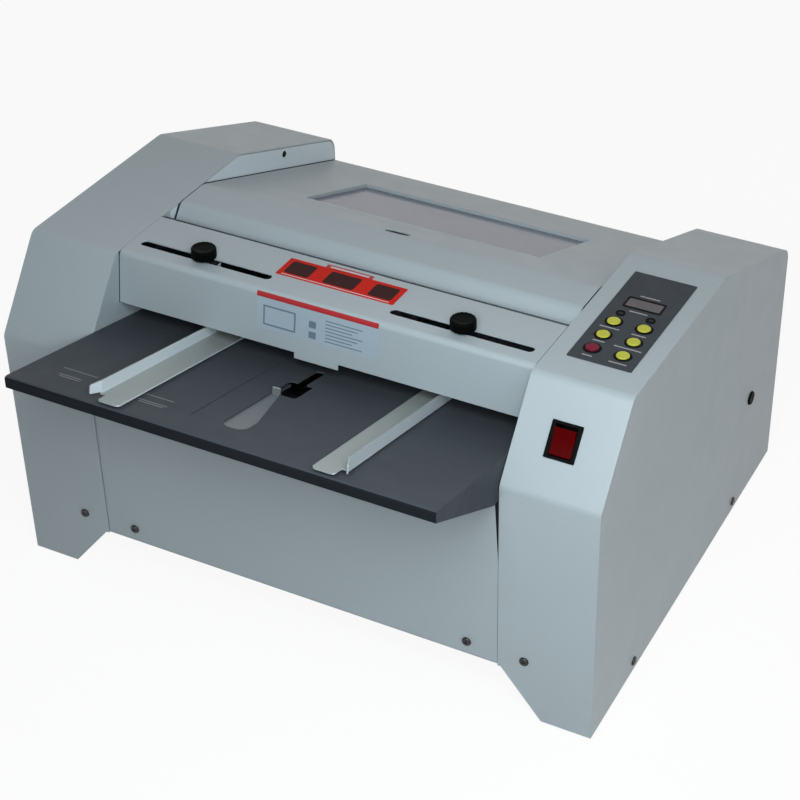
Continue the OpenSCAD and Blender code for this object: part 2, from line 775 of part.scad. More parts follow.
// Right-hand paper guide: floor flange, wall with a flared ear, riser and the tab under the front cover
module guide() {
    edge_x = guide_x + guide_t;
    riser_y = switch_run + stud_along * cos(control_angle) - riser_w / 2;
    riser_z = bed_z(riser_y) + guide_lift;
    tab_z = control_z(riser_y + riser_w / 2) + tab_top - tab_t / 2;
    difference() {
        union() {
            on_tray() translate([0, 0, guide_lift]) {
                linear_extrude(height = guide_t) polygon(rounded([
                    [guide_x - guide_flange, guide_start], [guide_x - relief_w, guide_start],
                    [guide_x - relief_w, ear_s], [edge_x, ear_s],
                    [edge_x, guide_back_s], [guide_x - guide_flange, guide_back_s]
                ], [4, 3, 1, 0, 0, 0]));
                across(guide_x, guide_t) polygon([
                    [ear_s, 0], [guide_back_s, 0], [guide_back_s, guide_back_h], [ear_s, guide_front_h]
                ]);
                translate([guide_x, ear_s, 0]) rotate(ear_flare) across(0, guide_t) polygon(rounded([
                    [-guide_ear, ear_drop], [guide_t / 2, ear_drop], [guide_t / 2, guide_front_h],
                    [-guide_ear, guide_front_h - ear_drop]
                ], [1, 0, 0, 2]));
            }
            block([guide_x, riser_y, riser_z], [guide_t, riser_w, tab_z - riser_z]);
            on_control() block(
                [guide_x, stud_along - riser_w / 2, tab_top - tab_t],
                [knob_x - guide_x + riser_w / 2, riser_w, tab_t]
            );
        }
        on_control() translate([knob_x, stud_along, tab_top - tab_t - 1]) cylinder(h = tab_t + 2, d = stud_dia + 2 * run_fit);
    }
}
module left_guide() color("whitesmoke") mirror([1, 0, 0]) guide();
module right_guide() color("whitesmoke") guide();
// Clamp knob with a narrow neck, a rounded and fluted grip and its stud
module knob() {
    neck_h = 2;
    neck_r = 0.3 * knob_dia;
    stud_len = tab_t - tab_top + slide_fit + 4;
    flutes = 16;
    on_control() translate([knob_x, stud_along, slide_fit]) {
        difference() {
            rotate_extrude() polygon(round_path([
                [0, 0], [neck_r, 0], [neck_r, neck_h], [knob_dia / 2, neck_h],
                [knob_dia / 2, knob_h], [0, knob_h]
            ], [0, 0, 0, 2.5, 4.5, 0]));
            for (i = [0 : flutes - 1]) rotate(i * 360 / flutes)
                translate([knob_dia / 2 + 1.1, 0, neck_h]) cylinder(h = knob_h, r = 1.6);
        }
        translate([0, 0, -stud_len]) cylinder(h = stud_len + eps, d = stud_dia);
    }
}
module left_knob() color([0.06, 0.06, 0.06]) mirror([1, 0, 0]) knob();
module right_knob() color([0.06, 0.06, 0.06]) knob();

// Front cover: leaning face with its tab, top with the guide slots, gutter under the lid's nose
module front_cover() {
    half = inner_x - seam;
    fold_z = control_z(cover_front_y);
    back_z = control_z(cover_back_y);
    ledge_z = back_z - gutter_d;
    low = [cover_front_y - cover_lean, fold_z - cover_face_h];
    fold = [cover_front_y, fold_z];
    lean = unit(fold - low);
    color("lightsteelblue") difference() {
        union() {
            across(-half, 2 * half)
                polygon(bent([low, fold, [cover_back_y, back_z], [cover_back_y, ledge_z]], [0, cover_r, cover_r, 0], sheet));
            across(-cover_tab_w / 2, cover_tab_w) polygon(bent([low - lean * cover_tab_h, low + lean], [0, 0], sheet));
            block([-half, cover_back_y - sheet, ledge_z], [2 * half, gutter_w + sheet, sheet]);
            both_sides() across(half - sheet, sheet + seam) polygon([
                [cover_front_y + cover_r, ledge_z + sheet], [cover_back_y - sheet / 2, ledge_z + sheet],
                [cover_back_y - sheet / 2, back_z - cover_r], [cover_back_y - cover_r, back_z - 0.8 * sheet],
                [cover_front_y + cover_r, fold_z - 1.2 * sheet]
            ]);
        }
        on_control() both_sides() translate([guide_slot_mid, stud_along, 0])
            slot_x_cut(guide_slot_len, guide_slot_w, -sheet - 1, 1);
    }
}

// Lid: rolled nose, level strip, sloping top with window and finger hole, back flange
module top_lid() {
    path = [
        [lid_front_y - nose_run, nose_z], [lid_front_y, control_z(lid_front_y)],
        [lid_break_y, control_z(lid_break_y)], [lid_back_y, lid_back_z], [lid_back_y, lid_back_z - lid_flange]
    ];
    rib_h = 10;
    color("lightsteelblue") difference() {
        union() {
            across(-lid_x, 2 * lid_x) polygon(bent(path, [0, 10, 30, 3, 0], sheet));
            on_lid() both_sides() block([lid_x - sheet, 8, -rib_h], [sheet, slope_len - 30, rib_h - sheet / 2]);
            on_lid() block(
                [-window_w / 2 - sheet, window_start - sheet, -window_edge],
                [window_w + 2 * sheet, window_l + 2 * sheet, window_edge - sheet / 2]
            );
        }
        on_lid() block([-window_w / 2, window_start, -window_edge - 1], [window_w, window_l, window_edge + 6]);
        on_lid() translate([0, finger_d / 2 + 3, 0]) slot_x_cut(finger_w, finger_d, -sheet - 5, 5);
    }
}
module lid_window() {
    color([0.62, 0.63, 0.7, 0.6]) on_lid() block(
        [-window_w / 2 - pane_rim, window_start - pane_rim, -window_edge - pane_t],
        [window_w + 2 * pane_rim, window_l + 2 * pane_rim, pane_t]
    );
}
// One hinge is five knuckles on a pin: three on the fixed leaf, two on the lid's leaf
module knuckle(i) {
    pitch = hinge_len / 5;
    translate([0, hinge_y, hinge_z]) rod(-hinge_len / 2 + i * pitch + slide_fit / 2, pitch - slide_fit, hinge_r);
}
module knuckle_web(i, y, z, d, h) {
    pitch = hinge_len / 5;
    block([-hinge_len / 2 + i * pitch + slide_fit / 2, y, z], [pitch - slide_fit, d, h]);
}
module at_hinges() for (side = [-1, 1]) translate([side * hinge_x, 0, 0]) children();
module lid_hinge_bases() {
    color("silver") at_hinges() difference() {
        union() {
            block([-hinge_len / 2, hinge_y - 18, hinge_seat_z], [hinge_len, 20, sheet]);
            for (i = [0, 2, 4]) {
                knuckle(i);
                knuckle_web(i, hinge_y - hinge_r, hinge_seat_z, hinge_r, hinge_z - hinge_seat_z);
            }
        }
        translate([0, hinge_y, hinge_z]) rod(-hinge_len, 2 * hinge_len, hinge_pin_dia / 2 + run_fit);
    }
}
module lid_hinge_leaves() {
    color("silver") at_hinges() difference() {
        for (i = [1, 3]) {
            knuckle(i);
            knuckle_web(i, hinge_y + hinge_r - sheet, hinge_z, sheet, lid_flange - 1);
        }
        translate([0, hinge_y, hinge_z]) rod(-hinge_len, 2 * hinge_len, hinge_pin_dia / 2 + run_fit);
    }
}
module lid_hinge_pins() {
    color("dimgray") at_hinges() translate([0, hinge_y, hinge_z]) rod(-hinge_len / 2 - 1, hinge_len + 2, hinge_pin_dia / 2);
}

// Controls on the right-hand side cover
module control_overlay() {
    color([0.25, 0.27, 0.3]) difference() {
        on_control() translate([pod_mid, overlay_start + overlay_l / 2, 0])
            linear_extrude(height = overlay_t) polygon(rounded_rect(overlay_w, overlay_l, control_corner));
        at_buttons() translate([0, 0, -1]) cylinder(h = overlay_t + 2, r = bezel_r + screw_gap);
        at_lamps() translate([0, 0, -1]) cylinder(h = overlay_t + 2, d = lamp_dia + 2 * screw_gap);
        on_control() translate([pod_mid, display_y, -1])
            linear_extrude(height = overlay_t + 2) square([display_w + 2 * screw_gap, display_d + 2 * screw_gap], center = true);
    }
}
module display_lens() {
    color([0.3, 0.28, 0.3]) on_control() translate([pod_mid, display_y, 0])
        linear_extrude(height = overlay_t + 0.2) polygon(rounded_rect(display_w, display_d, 1));
}
module indicator_lamps() {
    color([0.1, 0.1, 0.1]) at_lamps() translate([0, 0, -3]) {
        cylinder(h = 3 + overlay_t, d = lamp_dia);
        translate([0, 0, 3 + overlay_t - eps]) cylinder(h = 0.6, d1 = lamp_dia, d2 = lamp_dia - 1.6);
    }
}
module button_bezels() {
    color([0.1, 0.1, 0.1]) at_buttons() difference() {
        union() {
            translate([0, 0, -button_depth + 2]) cylinder(h = button_depth - 2 + overlay_t, r = bezel_r);
            translate([0, 0, overlay_t]) cylinder(h = bezel_rim, r1 = bezel_r + 1.2, r2 = bezel_r + 0.6);
        }
        translate([0, 0, -button_depth]) cylinder(h = 2 * button_depth, r = button_dia / 2 + slide_fit);
    }
}
// Push button with a domed cap; its low end shows the travel under the bezel
module button() {
    dome = 0.8;
    rotate_extrude() polygon(round_path([
        [0, -button_depth], [button_dia / 2, -button_depth], [button_dia / 2, button_h], [0, button_h]
    ], [0, 0, dome, 0]));
}
module red_button() color("crimson") at_button(-1, 0) button();
module yellow_button_1() color("gold") at_button(1, 0) button();
module yellow_button_2() color("gold") at_button(-1, 1) button();
module yellow_button_3() color("gold") at_button(1, 1) button();
module yellow_button_4() color("gold") at_button(-1, 2) button();
module yellow_button_5() color("gold") at_button(1, 2) button();
// Power switch: bezel with its body, and the rocker on a cross pin
module switch_bezel() {
    wall_w = rocker_w / 2 + slide_fit;
    wall_l = rocker_l / 2 + 1.4;
    color([0.08, 0.08, 0.08]) on_switch() difference() {
        union() {
            linear_extrude(height = bezel_t) polygon(rounded_rect(switch_w, switch_l, control_corner));
            block([-switch_body_w / 2, -switch_body_l / 2, -switch_depth], [switch_body_w, switch_body_l, switch_depth + eps]);
        }
        block([-wall_w, -wall_l, -switch_depth + 4], [2 * wall_w, 2 * wall_l, switch_depth]);
        translate([0, 0, rocker_pivot]) rod(-wall_w - 1, 2 * wall_w + 2, 1.5 + run_fit);
    }
}
module switch_rocker() {
    half = rocker_l / 2;
    color([0.6, 0.05, 0.1]) on_switch() translate([0, 0, rocker_pivot]) rotate([rocker_tilt, 0, 0]) {
        across(-rocker_w / 2, rocker_w) polygon(rounded([
            [-half + 3, -6], [half - 3, -6], [half, 8.2], [0, 6.6], [-half, 8.2]
        ], [2, 2, 0.8, 40, 0.8]));
        rod(-rocker_w / 2 - 1, rocker_w + 2, 1.5);
    }
}
module fuse_cap() {
    color([0.06, 0.06, 0.06]) translate([body_w / 2, fuse_y, fuse_z]) rotate([0, 90, 0]) difference() {
        union() {
            cylinder(h = 2, d1 = fuse_dia, d2 = fuse_dia - 1.5);
            translate([0, 0, -26]) cylinder(h = 26 + eps, d = fuse_dia - 2);
        }
        block([-4, -0.6, 1], [8, 1.2, 2]);
    }
}
// Appliance inlet with a deep recess and its three contact blades
module power_inlet() {
    face_y = body_d - panel_set;
    depth = 26;
    recess = 20;
    color([0.08, 0.08, 0.08]) translate([inlet_x, face_y, inlet_z]) rotate([-90, 0, 0]) {
        difference() {
            union() {
                translate([0, 0, -depth]) linear_extrude(height = depth + eps) square([inlet_w, inlet_h], center = true);
                linear_extrude(height = panel_set) polygon(rounded_rect(inlet_w + 5, inlet_h + 5, 2));
            }
            translate([0, 0, panel_set - recess]) linear_extrude(height = recess + 1) polygon([
                [-12, 7.5], [12, 7.5], [12, -3.5], [8, -7.5], [-8, -7.5], [-12, -3.5]
            ]);
        }
        for (at = [[-7, 3], [0, -2], [7, 3]])
            block([at.x - 1, at.y - 2, panel_set - recess - 1], [2, 4, 13]);
    }
}

// Paper bed: the plate that carries the sheets on from the tray
module paper_bed() {
    half = inner_x - seam;
    rod_bracket = 22;
    color("gainsboro") on_bed() difference() {
        union() {
            block([-half, bed_start, -sheet], [2 * half, bed_end - bed_start, sheet]);
            both_sides() block([half - sheet, bed_start, -bed_flange], [sheet + seam, bed_end - bed_start, bed_flange - sheet / 2]);
            for (s = [rod_front_s, bed_end - sheet])
                block([-rod_x - 12, s, -rod_bracket], [2 * rod_x + 24, sheet, rod_bracket - sheet / 2]);
        }
        block([-fold_slot_x, -4, -sheet - 1], [2 * fold_slot_x, 8, sheet + 2]);
        for (side = [-1, 1]) {
            block(
                [side * rod_x - leg_w / 2 - 1, stop_s - stop_range - 3, -sheet - 1],
                [leg_w + 2, stop_range + stop_back + 8, sheet + 2]
            );
            translate([side * rod_x, rod_front_s - 1, rod_n]) rotate([-90, 0, 0])
                cylinder(h = bed_end - rod_front_s + 2, d = rod_dia + 2 * run_fit);
            block([side * staple_x - 10.5, staple_s - 5.5, -sheet - 1], [21, 11, sheet + 2]);
        }
    }
}
module clinch_bar() {
    color("silver") on_bed() {
        block([-staple_x - 40, staple_s - 9, -20], [2 * staple_x + 80, 18, 20 - sheet]);
        for (side = [-1, 1]) difference() {
            block([side * staple_x - 10, staple_s - 5, -sheet - eps], [20, 10, sheet]);
            translate([side * staple_x, staple_s, 0.6]) rotate([0, 90, 0]) cylinder(h = 13, r = 1.2, center = true);
        }
    }
}
module staple_beam() {
    color("silver") on_bed() difference() {
        block([-inner_x, beam_s, beam_n], [2 * inner_x, beam_w, beam_h]);
        block([-inner_x - 1, beam_s + beam_t, beam_n + beam_t], [2 * inner_x + 2, beam_w - 2 * beam_t, beam_h - 2 * beam_t]);
    }
}
// Staple head: two cheeks, the staple magazine between them and the foot that sits on the beam
module staple_head() {
    cheek = [
        [staple_s - 32, 12], [staple_s + 13, 12], [head_back, 26], [head_back, beam_n + beam_h],
        [staple_s - 6, beam_n + beam_h], [staple_s - 32, 38]
    ];
    on_bed() translate([staple_x, 0, 0]) {
        for (x = [-head_w / 2, head_w / 2 - cheek_t]) across(x, cheek_t) polygon(rounded(cheek, [3, 3, 3, 0, 8, 8]));
        across(-head_w / 2 + eps, head_w - 2 * eps) polygon([
            [staple_s - 31, 13], [staple_s - 7, 13], [staple_s - 7, 30], [staple_s - 31, 30]
        ]);
        across(-head_w / 2 + eps, head_w - 2 * eps) polygon([
            [staple_s + 14, 20], [head_back - 1, 30], [head_back - 1, 42], [staple_s + 14, 42]
        ]);
        block([-head_w / 2, head_back - 1, beam_n], [head_w, beam_s - head_back + 1, beam_h]);
    }
}
module left_staple_head() color([0.3, 0.32, 0.36]) mirror([1, 0, 0]) staple_head();
module right_staple_head() color([0.3, 0.32, 0.36]) staple_head();
module staple_driver() {
    on_bed() translate([staple_x, staple_s, driver_rest]) {
        block([-driver_w / 2, -5, 0], [driver_w, 10, driver_h]);
        block([-6.5, -0.5, -12], [13, 1, 12 + eps]);
        translate([0, 0, driver_h - eps]) cylinder(h = 4, d = 9);
    }
}
module left_staple_driver() color("silver") mirror([1, 0, 0]) staple_driver();
module right_staple_driver() color("silver") staple_driver();

// Fold knife: blade, carrier bar with pin slots in its ends, and tongues that run in the side frames
module fold_knife() {
    blade_x = fold_slot_x - 5;
    blade_top = knife_pin_n - 2;
    notch = arm_t + 3;
    pin_slot_depth = 10;
    color("silver") on_bed() difference() {
        union() {
            block([-blade_x, -blade_t / 2, knife_tip], [2 * blade_x, blade_t, blade_top - knife_tip]);
            block([-carrier_x, -carrier_half, knife_pin_n - 8], [2 * carrier_x, 2 * carrier_half, 16]);
            both_sides() block(
                [carrier_x + 25, -tongue_half, knife_pin_n - tongue_h / 2],
                [inner_x + frame_t + 2 - carrier_x - 25, 2 * tongue_half, tongue_h]
            );
        }
        both_sides() {
            block([carrier_x, -carrier_half, knife_pin_n - 14], [notch, 2 * carrier_half, 30]);
            block(
                [carrier_x - pin_slot_depth, rocker_s - arm_len - pin_r - slide_fit, knife_pin_n - pin_r - slide_fit],
                [pin_slot_depth + 1, arm_len - rocker_s + 2 * (pin_r + slide_fit), 2 * (pin_r + slide_fit)]
            );
        }
    }
}
// Knife rocker: cross shaft with two arms whose pins sit in the knife carrier
module knife_rocker() {
    hub_r = shaft_dia / 2 + 4;
    eye_r = pin_r + 4;
    bar_half = eye_r - 1.8;
    color("dimgray") at_knife_rocker() {
        rod(-inner_x - frame_t - 3, 2 * (inner_x + frame_t + 3), shaft_dia / 2);
        both_sides() {
            rod(arm_x, arm_t, hub_r);
            translate([0, -rocker_s, stroke / 2]) {
                rod(arm_x, arm_t, eye_r);
                rod(carrier_x - 9, arm_x - carrier_x + 9 + eps, pin_r);
            }
            translate([arm_x, 0, 0]) rotate([-rocker_swing / 2, 0, 0])
                block([0.5, -arm_len, -bar_half], [arm_t - 1, arm_len, 2 * bar_half]);
        }
    }
}
// Fold roller: shaft with rubber-covered rings
module fold_roller(left_end) {
    rings = 7;
    pitch = 2 * roller_x / rings;
    ring_gap = 6;
    rod(-left_end, left_end + inner_x + frame_t + 3, shaft_dia / 2);
    rod(-roller_x, 2 * roller_x, roller_dia / 2 - 3);
    for (i = [0 : rings - 1]) rod(-roller_x + i * pitch + ring_gap / 2, pitch - ring_gap, roller_dia / 2);
}
module front_roller() color([0.2, 0.2, 0.22]) at_roller(-1) fold_roller(drive_gear_x + gear_w + 1);
module rear_roller() color([0.2, 0.2, 0.22]) at_roller(1) fold_roller(roller_gear_x + gear_w + 1);
module bush() {
    difference() {
        union() {
            rod(inner_x - eps, frame_t + 2, bush_r - screw_gap / 3);
            rod(inner_x - bush_flange_t, bush_flange_t, bush_flange_r);
        }
        rod(inner_x - 10, 30, shaft_dia / 2 + run_fit);
    }
}
module shaft_bushes() {
    color("goldenrod") both_sides() {
        for (side = [-1, 1]) at_roller(side) bush();
        at_knife_rocker() bush();
    }
}
// Gears run in the left-hand side cover
module gear(teeth, m, x, bore, turn) {
    rotate([turn, 0, 0]) difference() {
        across(-x - gear_w, gear_w) polygon(gear_outline(teeth, m));
        rod(-x - gear_w - 1, gear_w + 2, bore / 2 + run_fit / 2);
    }
}
module front_roller_gear() color("gainsboro") at_roller(-1) gear(roller_teeth, roller_module, roller_gear_x, shaft_dia, 0);
module rear_roller_gear() {
    color("gainsboro") at_roller(1)
        gear(roller_teeth, roller_module, roller_gear_x, shaft_dia, 180 + 180 / roller_teeth);
}
module drive_gear() {
    web_r = drive_module * drive_teeth / 2 - 6;
    hub_r = shaft_dia / 2 + 5;
    color("gainsboro") at_roller(-1) rotate([tray_slope, 0, 0]) difference() {
        gear(drive_teeth, drive_module, drive_gear_x, shaft_dia, -90);
        for (i = [0 : 5]) rotate([i * 60, 0, 0])
            translate([0, (web_r + hub_r) / 2, 0]) rod(-drive_gear_x - gear_w - 1, gear_w + 2, (web_r - hub_r) / 2 - 1);
    }
}
module at_motor() at_roller(-1) rotate([tray_slope, 0, 0]) translate([0, 0, -drive_axis_gap]) children();
module motor_pinion() {
    color("gainsboro") at_motor() {
        rotate([90 + 180 / pinion_teeth, 0, 0])
            across(-drive_gear_x - gear_w, gear_w) polygon(gear_outline(pinion_teeth, drive_module));
        rod(-motor_x - 20, motor_x + 20 - drive_gear_x - gear_w + eps, motor_shaft_dia / 2);
    }
}
module drive_motor() {
    color("dimgray") at_motor() difference() {
        union() {
            rod(-motor_x - motor_len, motor_len, motor_dia / 2);
            for (i = [0 : 11]) rotate([i * 30, 0, 0])
                block([-motor_x - motor_len + 8, -1, motor_dia / 2 - 1], [motor_len - 16, 2, 3]);
        }
        rod(-motor_x - 22, 24, motor_shaft_dia / 2 + run_fit);
    }
}
module motor_bracket() {
    post_r = 4;
    inset = post_r + 3;
    frame_x = inner_x + frame_t;
    half = bracket_w / 2;
    plate = [[-half, -bracket_low], [half, -bracket_low], [half, bracket_high], [-half, bracket_high]];
    color("silver") at_motor() difference() {
        union() {
            across(-motor_x, frame_t) polygon(rounded(plate, [6, 6, 6, 6]));
            for (y = [-half + inset, half - inset], z = [-bracket_low + inset, bracket_high - inset])
                translate([0, y, z]) rod(-motor_x + frame_t - eps, motor_x - frame_t - frame_x + eps, post_r);
        }
        rod(-motor_x - 1, frame_t + 2, motor_shaft_dia / 2 + 2);
    }
}
// Paper stop: a rail over the bed on two legs, with a carriage that runs on rods under the bed
module paper_stop() {
    rail_h = 14;
    leg_n = rod_n;
    color([0.15, 0.15, 0.16]) on_bed() difference() {
        union() {
            block([-rod_x - 15, stop_s, 0.6], [2 * rod_x + 30, 2, rail_h]);
            for (side = [-1, 1]) {
                block([side * rod_x - leg_w / 2, stop_s, leg_n], [leg_w, 2, rail_h - leg_n]);
                block([side * rod_x - 10, stop_s - carriage_l / 2, rod_n - carriage_h / 2], [20, carriage_l, carriage_h]);
            }
            block([-rod_x, stop_s - 4, rod_n - 4], [2 * rod_x, 8, 8]);
        }
        for (side = [-1, 1])
            translate([side * rod_x, stop_s - carriage_l, rod_n]) rotate([-90, 0, 0])
                cylinder(h = 2 * carriage_l, d = rod_dia + 2 * run_fit);
    }
}
module stop_rods() {
    color("silver") on_bed() for (side = [-1, 1])
        translate([side * rod_x, rod_front_s - 2, rod_n]) rotate([-90, 0, 0])
            cylinder(h = bed_end - rod_front_s + 4, d = rod_dia);
}
// Exit chute: curved plate that turns the folded booklet to the slot in the rear panel
module exit_chute() {
    half = inner_x;
    path = [[chute_front_y, chute_top_z], [chute_front_y, chute_z], [body_d - panel_set - sheet - pan_t - seam, chute_z]];
    color("gainsboro") across(-half, 2 * half)
        polygon(concat(round_path(path, [0, chute_r, 0]), reversed(round_path(beside(path, -sheet), [0, chute_r - sheet, 0]))));
}

// Electrics in the right-hand side cover
module control_board() {
    x = inner_x + frame_t;
    top_x = x + board_stand + board_t - eps;
    color("seagreen") translate([0, board_y, board_z]) {
        block([x + board_stand, 0, 0], [board_t, board_l, board_h]);
        for (y = [6, board_l - 6], z = [6, board_h - 6]) translate([0, y, z]) rod(x, board_stand + eps, 3);
        for (i = [0 : 2]) block([top_x, 14 + i * 30, 12], [9, 20, 12]);
        for (i = [0 : 3]) translate([0, 20 + i * 22, board_h - 20]) rod(top_x, 16, 6);
        block([top_x, 35, 36], [4, 36, 14]);
    }
}
module power_supply() {
    vents = 8;
    vent_pitch = supply_l / (vents + 1.5);
    color("silver") translate([inner_x + frame_t, supply_y, supply_z]) difference() {
        cube([supply_w, supply_l, supply_h]);
        for (i = [0 : vents - 1])
            block([supply_w - 4, (i + 1) * vent_pitch, supply_h / 5], [6, vent_pitch / 2, 3 * supply_h / 5]);
    }
}

placed() base_pan();
placed() rubber_feet();
placed() left_side_frame();
placed() right_side_frame();
placed() left_side_cover();
placed() right_side_cover();
placed() front_panel();
placed() rear_panel();
placed() housing_screws();
placed() tie_bars();
placed() input_tray();
placed() stack_pusher();
placed() left_guide();
placed() right_guide();
placed() left_knob();
placed() right_knob();
placed() front_cover();
placed() top_lid();
placed() lid_window();
placed() lid_hinge_bases();
placed() lid_hinge_leaves();
placed() lid_hinge_pins();
placed() control_overlay();
placed() display_lens();
placed() indicator_lamps();
placed() button_bezels();
placed() red_button();
placed() yellow_button_1();
placed() yellow_button_2();
placed() yellow_button_3();
placed() yellow_button_4();
placed() yellow_button_5();
placed() switch_bezel();
placed() switch_rocker();
placed() fuse_cap();
placed() power_inlet();
placed() paper_bed();
placed() clinch_bar();
placed() staple_beam();
placed() left_staple_head();
placed() right_staple_head();
placed() left_staple_driver();
placed() right_staple_driver();
placed() fold_knife();
placed() knife_rocker();
placed() front_roller();
placed() rear_roller();
placed() shaft_bushes();
placed() front_roller_gear();
placed() rear_roller_gear();
placed() drive_gear();
placed() motor_pinion();
placed() drive_motor();
placed() motor_bracket();
placed() paper_stop();
placed() stop_rods();
placed() exit_chute();
placed() control_board();
placed() power_supply();
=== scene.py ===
import json
import math

import bmesh
import bpy
from mathutils import Matrix, Vector


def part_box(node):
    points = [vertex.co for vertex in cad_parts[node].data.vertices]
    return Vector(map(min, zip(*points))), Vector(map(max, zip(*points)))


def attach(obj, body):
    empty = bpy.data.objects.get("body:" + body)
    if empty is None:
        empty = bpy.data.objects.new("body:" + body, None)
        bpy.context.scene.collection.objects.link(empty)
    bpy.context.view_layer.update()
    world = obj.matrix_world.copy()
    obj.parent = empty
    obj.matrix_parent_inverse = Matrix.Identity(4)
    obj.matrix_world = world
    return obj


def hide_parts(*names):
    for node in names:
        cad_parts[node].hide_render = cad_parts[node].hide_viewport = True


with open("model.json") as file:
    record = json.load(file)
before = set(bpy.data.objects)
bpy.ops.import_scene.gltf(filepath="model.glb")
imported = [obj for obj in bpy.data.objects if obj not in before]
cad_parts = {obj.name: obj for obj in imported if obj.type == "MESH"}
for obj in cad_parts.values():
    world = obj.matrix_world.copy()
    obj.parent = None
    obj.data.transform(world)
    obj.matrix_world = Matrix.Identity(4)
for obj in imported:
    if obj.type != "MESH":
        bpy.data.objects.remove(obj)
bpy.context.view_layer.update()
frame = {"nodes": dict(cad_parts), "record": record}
nodes = frame["nodes"]
scene = bpy.context.scene
scene.view_settings.view_transform = "Standard"

MM = 0.001
SHIFT_Y = -170.0  # from the front of the side covers to the middle of the row frame


def point(x, y, z):
    """A point in millimetres, with Y counted from the front of the side covers, in the row frame."""
    return Vector((x * MM, (y + SHIFT_Y) * MM, z * MM))


def srgb(r, g, b):
    """Linear colour of an 8-bit display colour."""
    def lin(c):
        c /= 255.0
        return c / 12.92 if c <= 0.04045 else ((c + 0.055) / 1.055) ** 2.4
    return (lin(r), lin(g), lin(b), 1.0)


def shade(colour, k):
    return tuple(min(1.0, c * k) for c in colour[:3]) + (1.0,)


# Camera

FOCAL_PIXELS = 2090.896
PHOTO_PIXELS = 800.0
SENSOR = 36.0
CAMERA_AT = (758.482, -1193.02, 1307.985)
CAMERA_RIGHT = Vector((0.886164, 0.462919, -0.020482))
CAMERA_UP = Vector((-0.260215, 0.533729, 0.804625))
CAMERA_FORWARD = Vector((-0.383409, 0.7077, -0.59343))

camera_data = bpy.data.cameras.new("camera")
camera_data.sensor_width = SENSOR
camera_data.lens = FOCAL_PIXELS / PHOTO_PIXELS * SENSOR
camera_data.clip_end = 20.0
camera = bpy.data.objects.new("camera", camera_data)
scene.collection.objects.link(camera)
camera_turn = Matrix((CAMERA_RIGHT, CAMERA_UP, -CAMERA_FORWARD)).transposed().to_4x4()
camera.matrix_world = Matrix.Translation(point(*CAMERA_AT)) @ camera_turn
scene.camera = camera

# Materials

# Profiles for the painted light and painted shade on the side frames, each as planes with a normal and a
# height in millimetres:
# nose, top and slope of the shut lid; what is in front of the lid; face, top, back and lower edge of the
# front cover
LID_PROFILE = (((0, -0.7751, 0.6319), 208.77), ((0, 0.0384, 0.9993), 322.54), ((0, 0.3827, 0.9239), 309.68))
LID_FRONT = (((0, -1, 0), 22.0),)
COVER_PROFILE = (
    ((0, -0.9874, 0.1580), 154.32), ((0, 0.0384, 0.9993), 322.54), ((0, 1, 0), -33.0), ((0, 0, -1), -277.0)
)
LID_GAP = 0.6
COVER_GAP = 0.8
PROFILE_BLUR = 0.2


def larger(tree, a, b):
    """The larger one of two values in a node tree."""
    node = tree.nodes.new("ShaderNodeMath")
    node.operation = "MAXIMUM"
    tree.links.new(a, node.inputs[0])
    tree.links.new(b, node.inputs[1])
    return node.outputs[0]


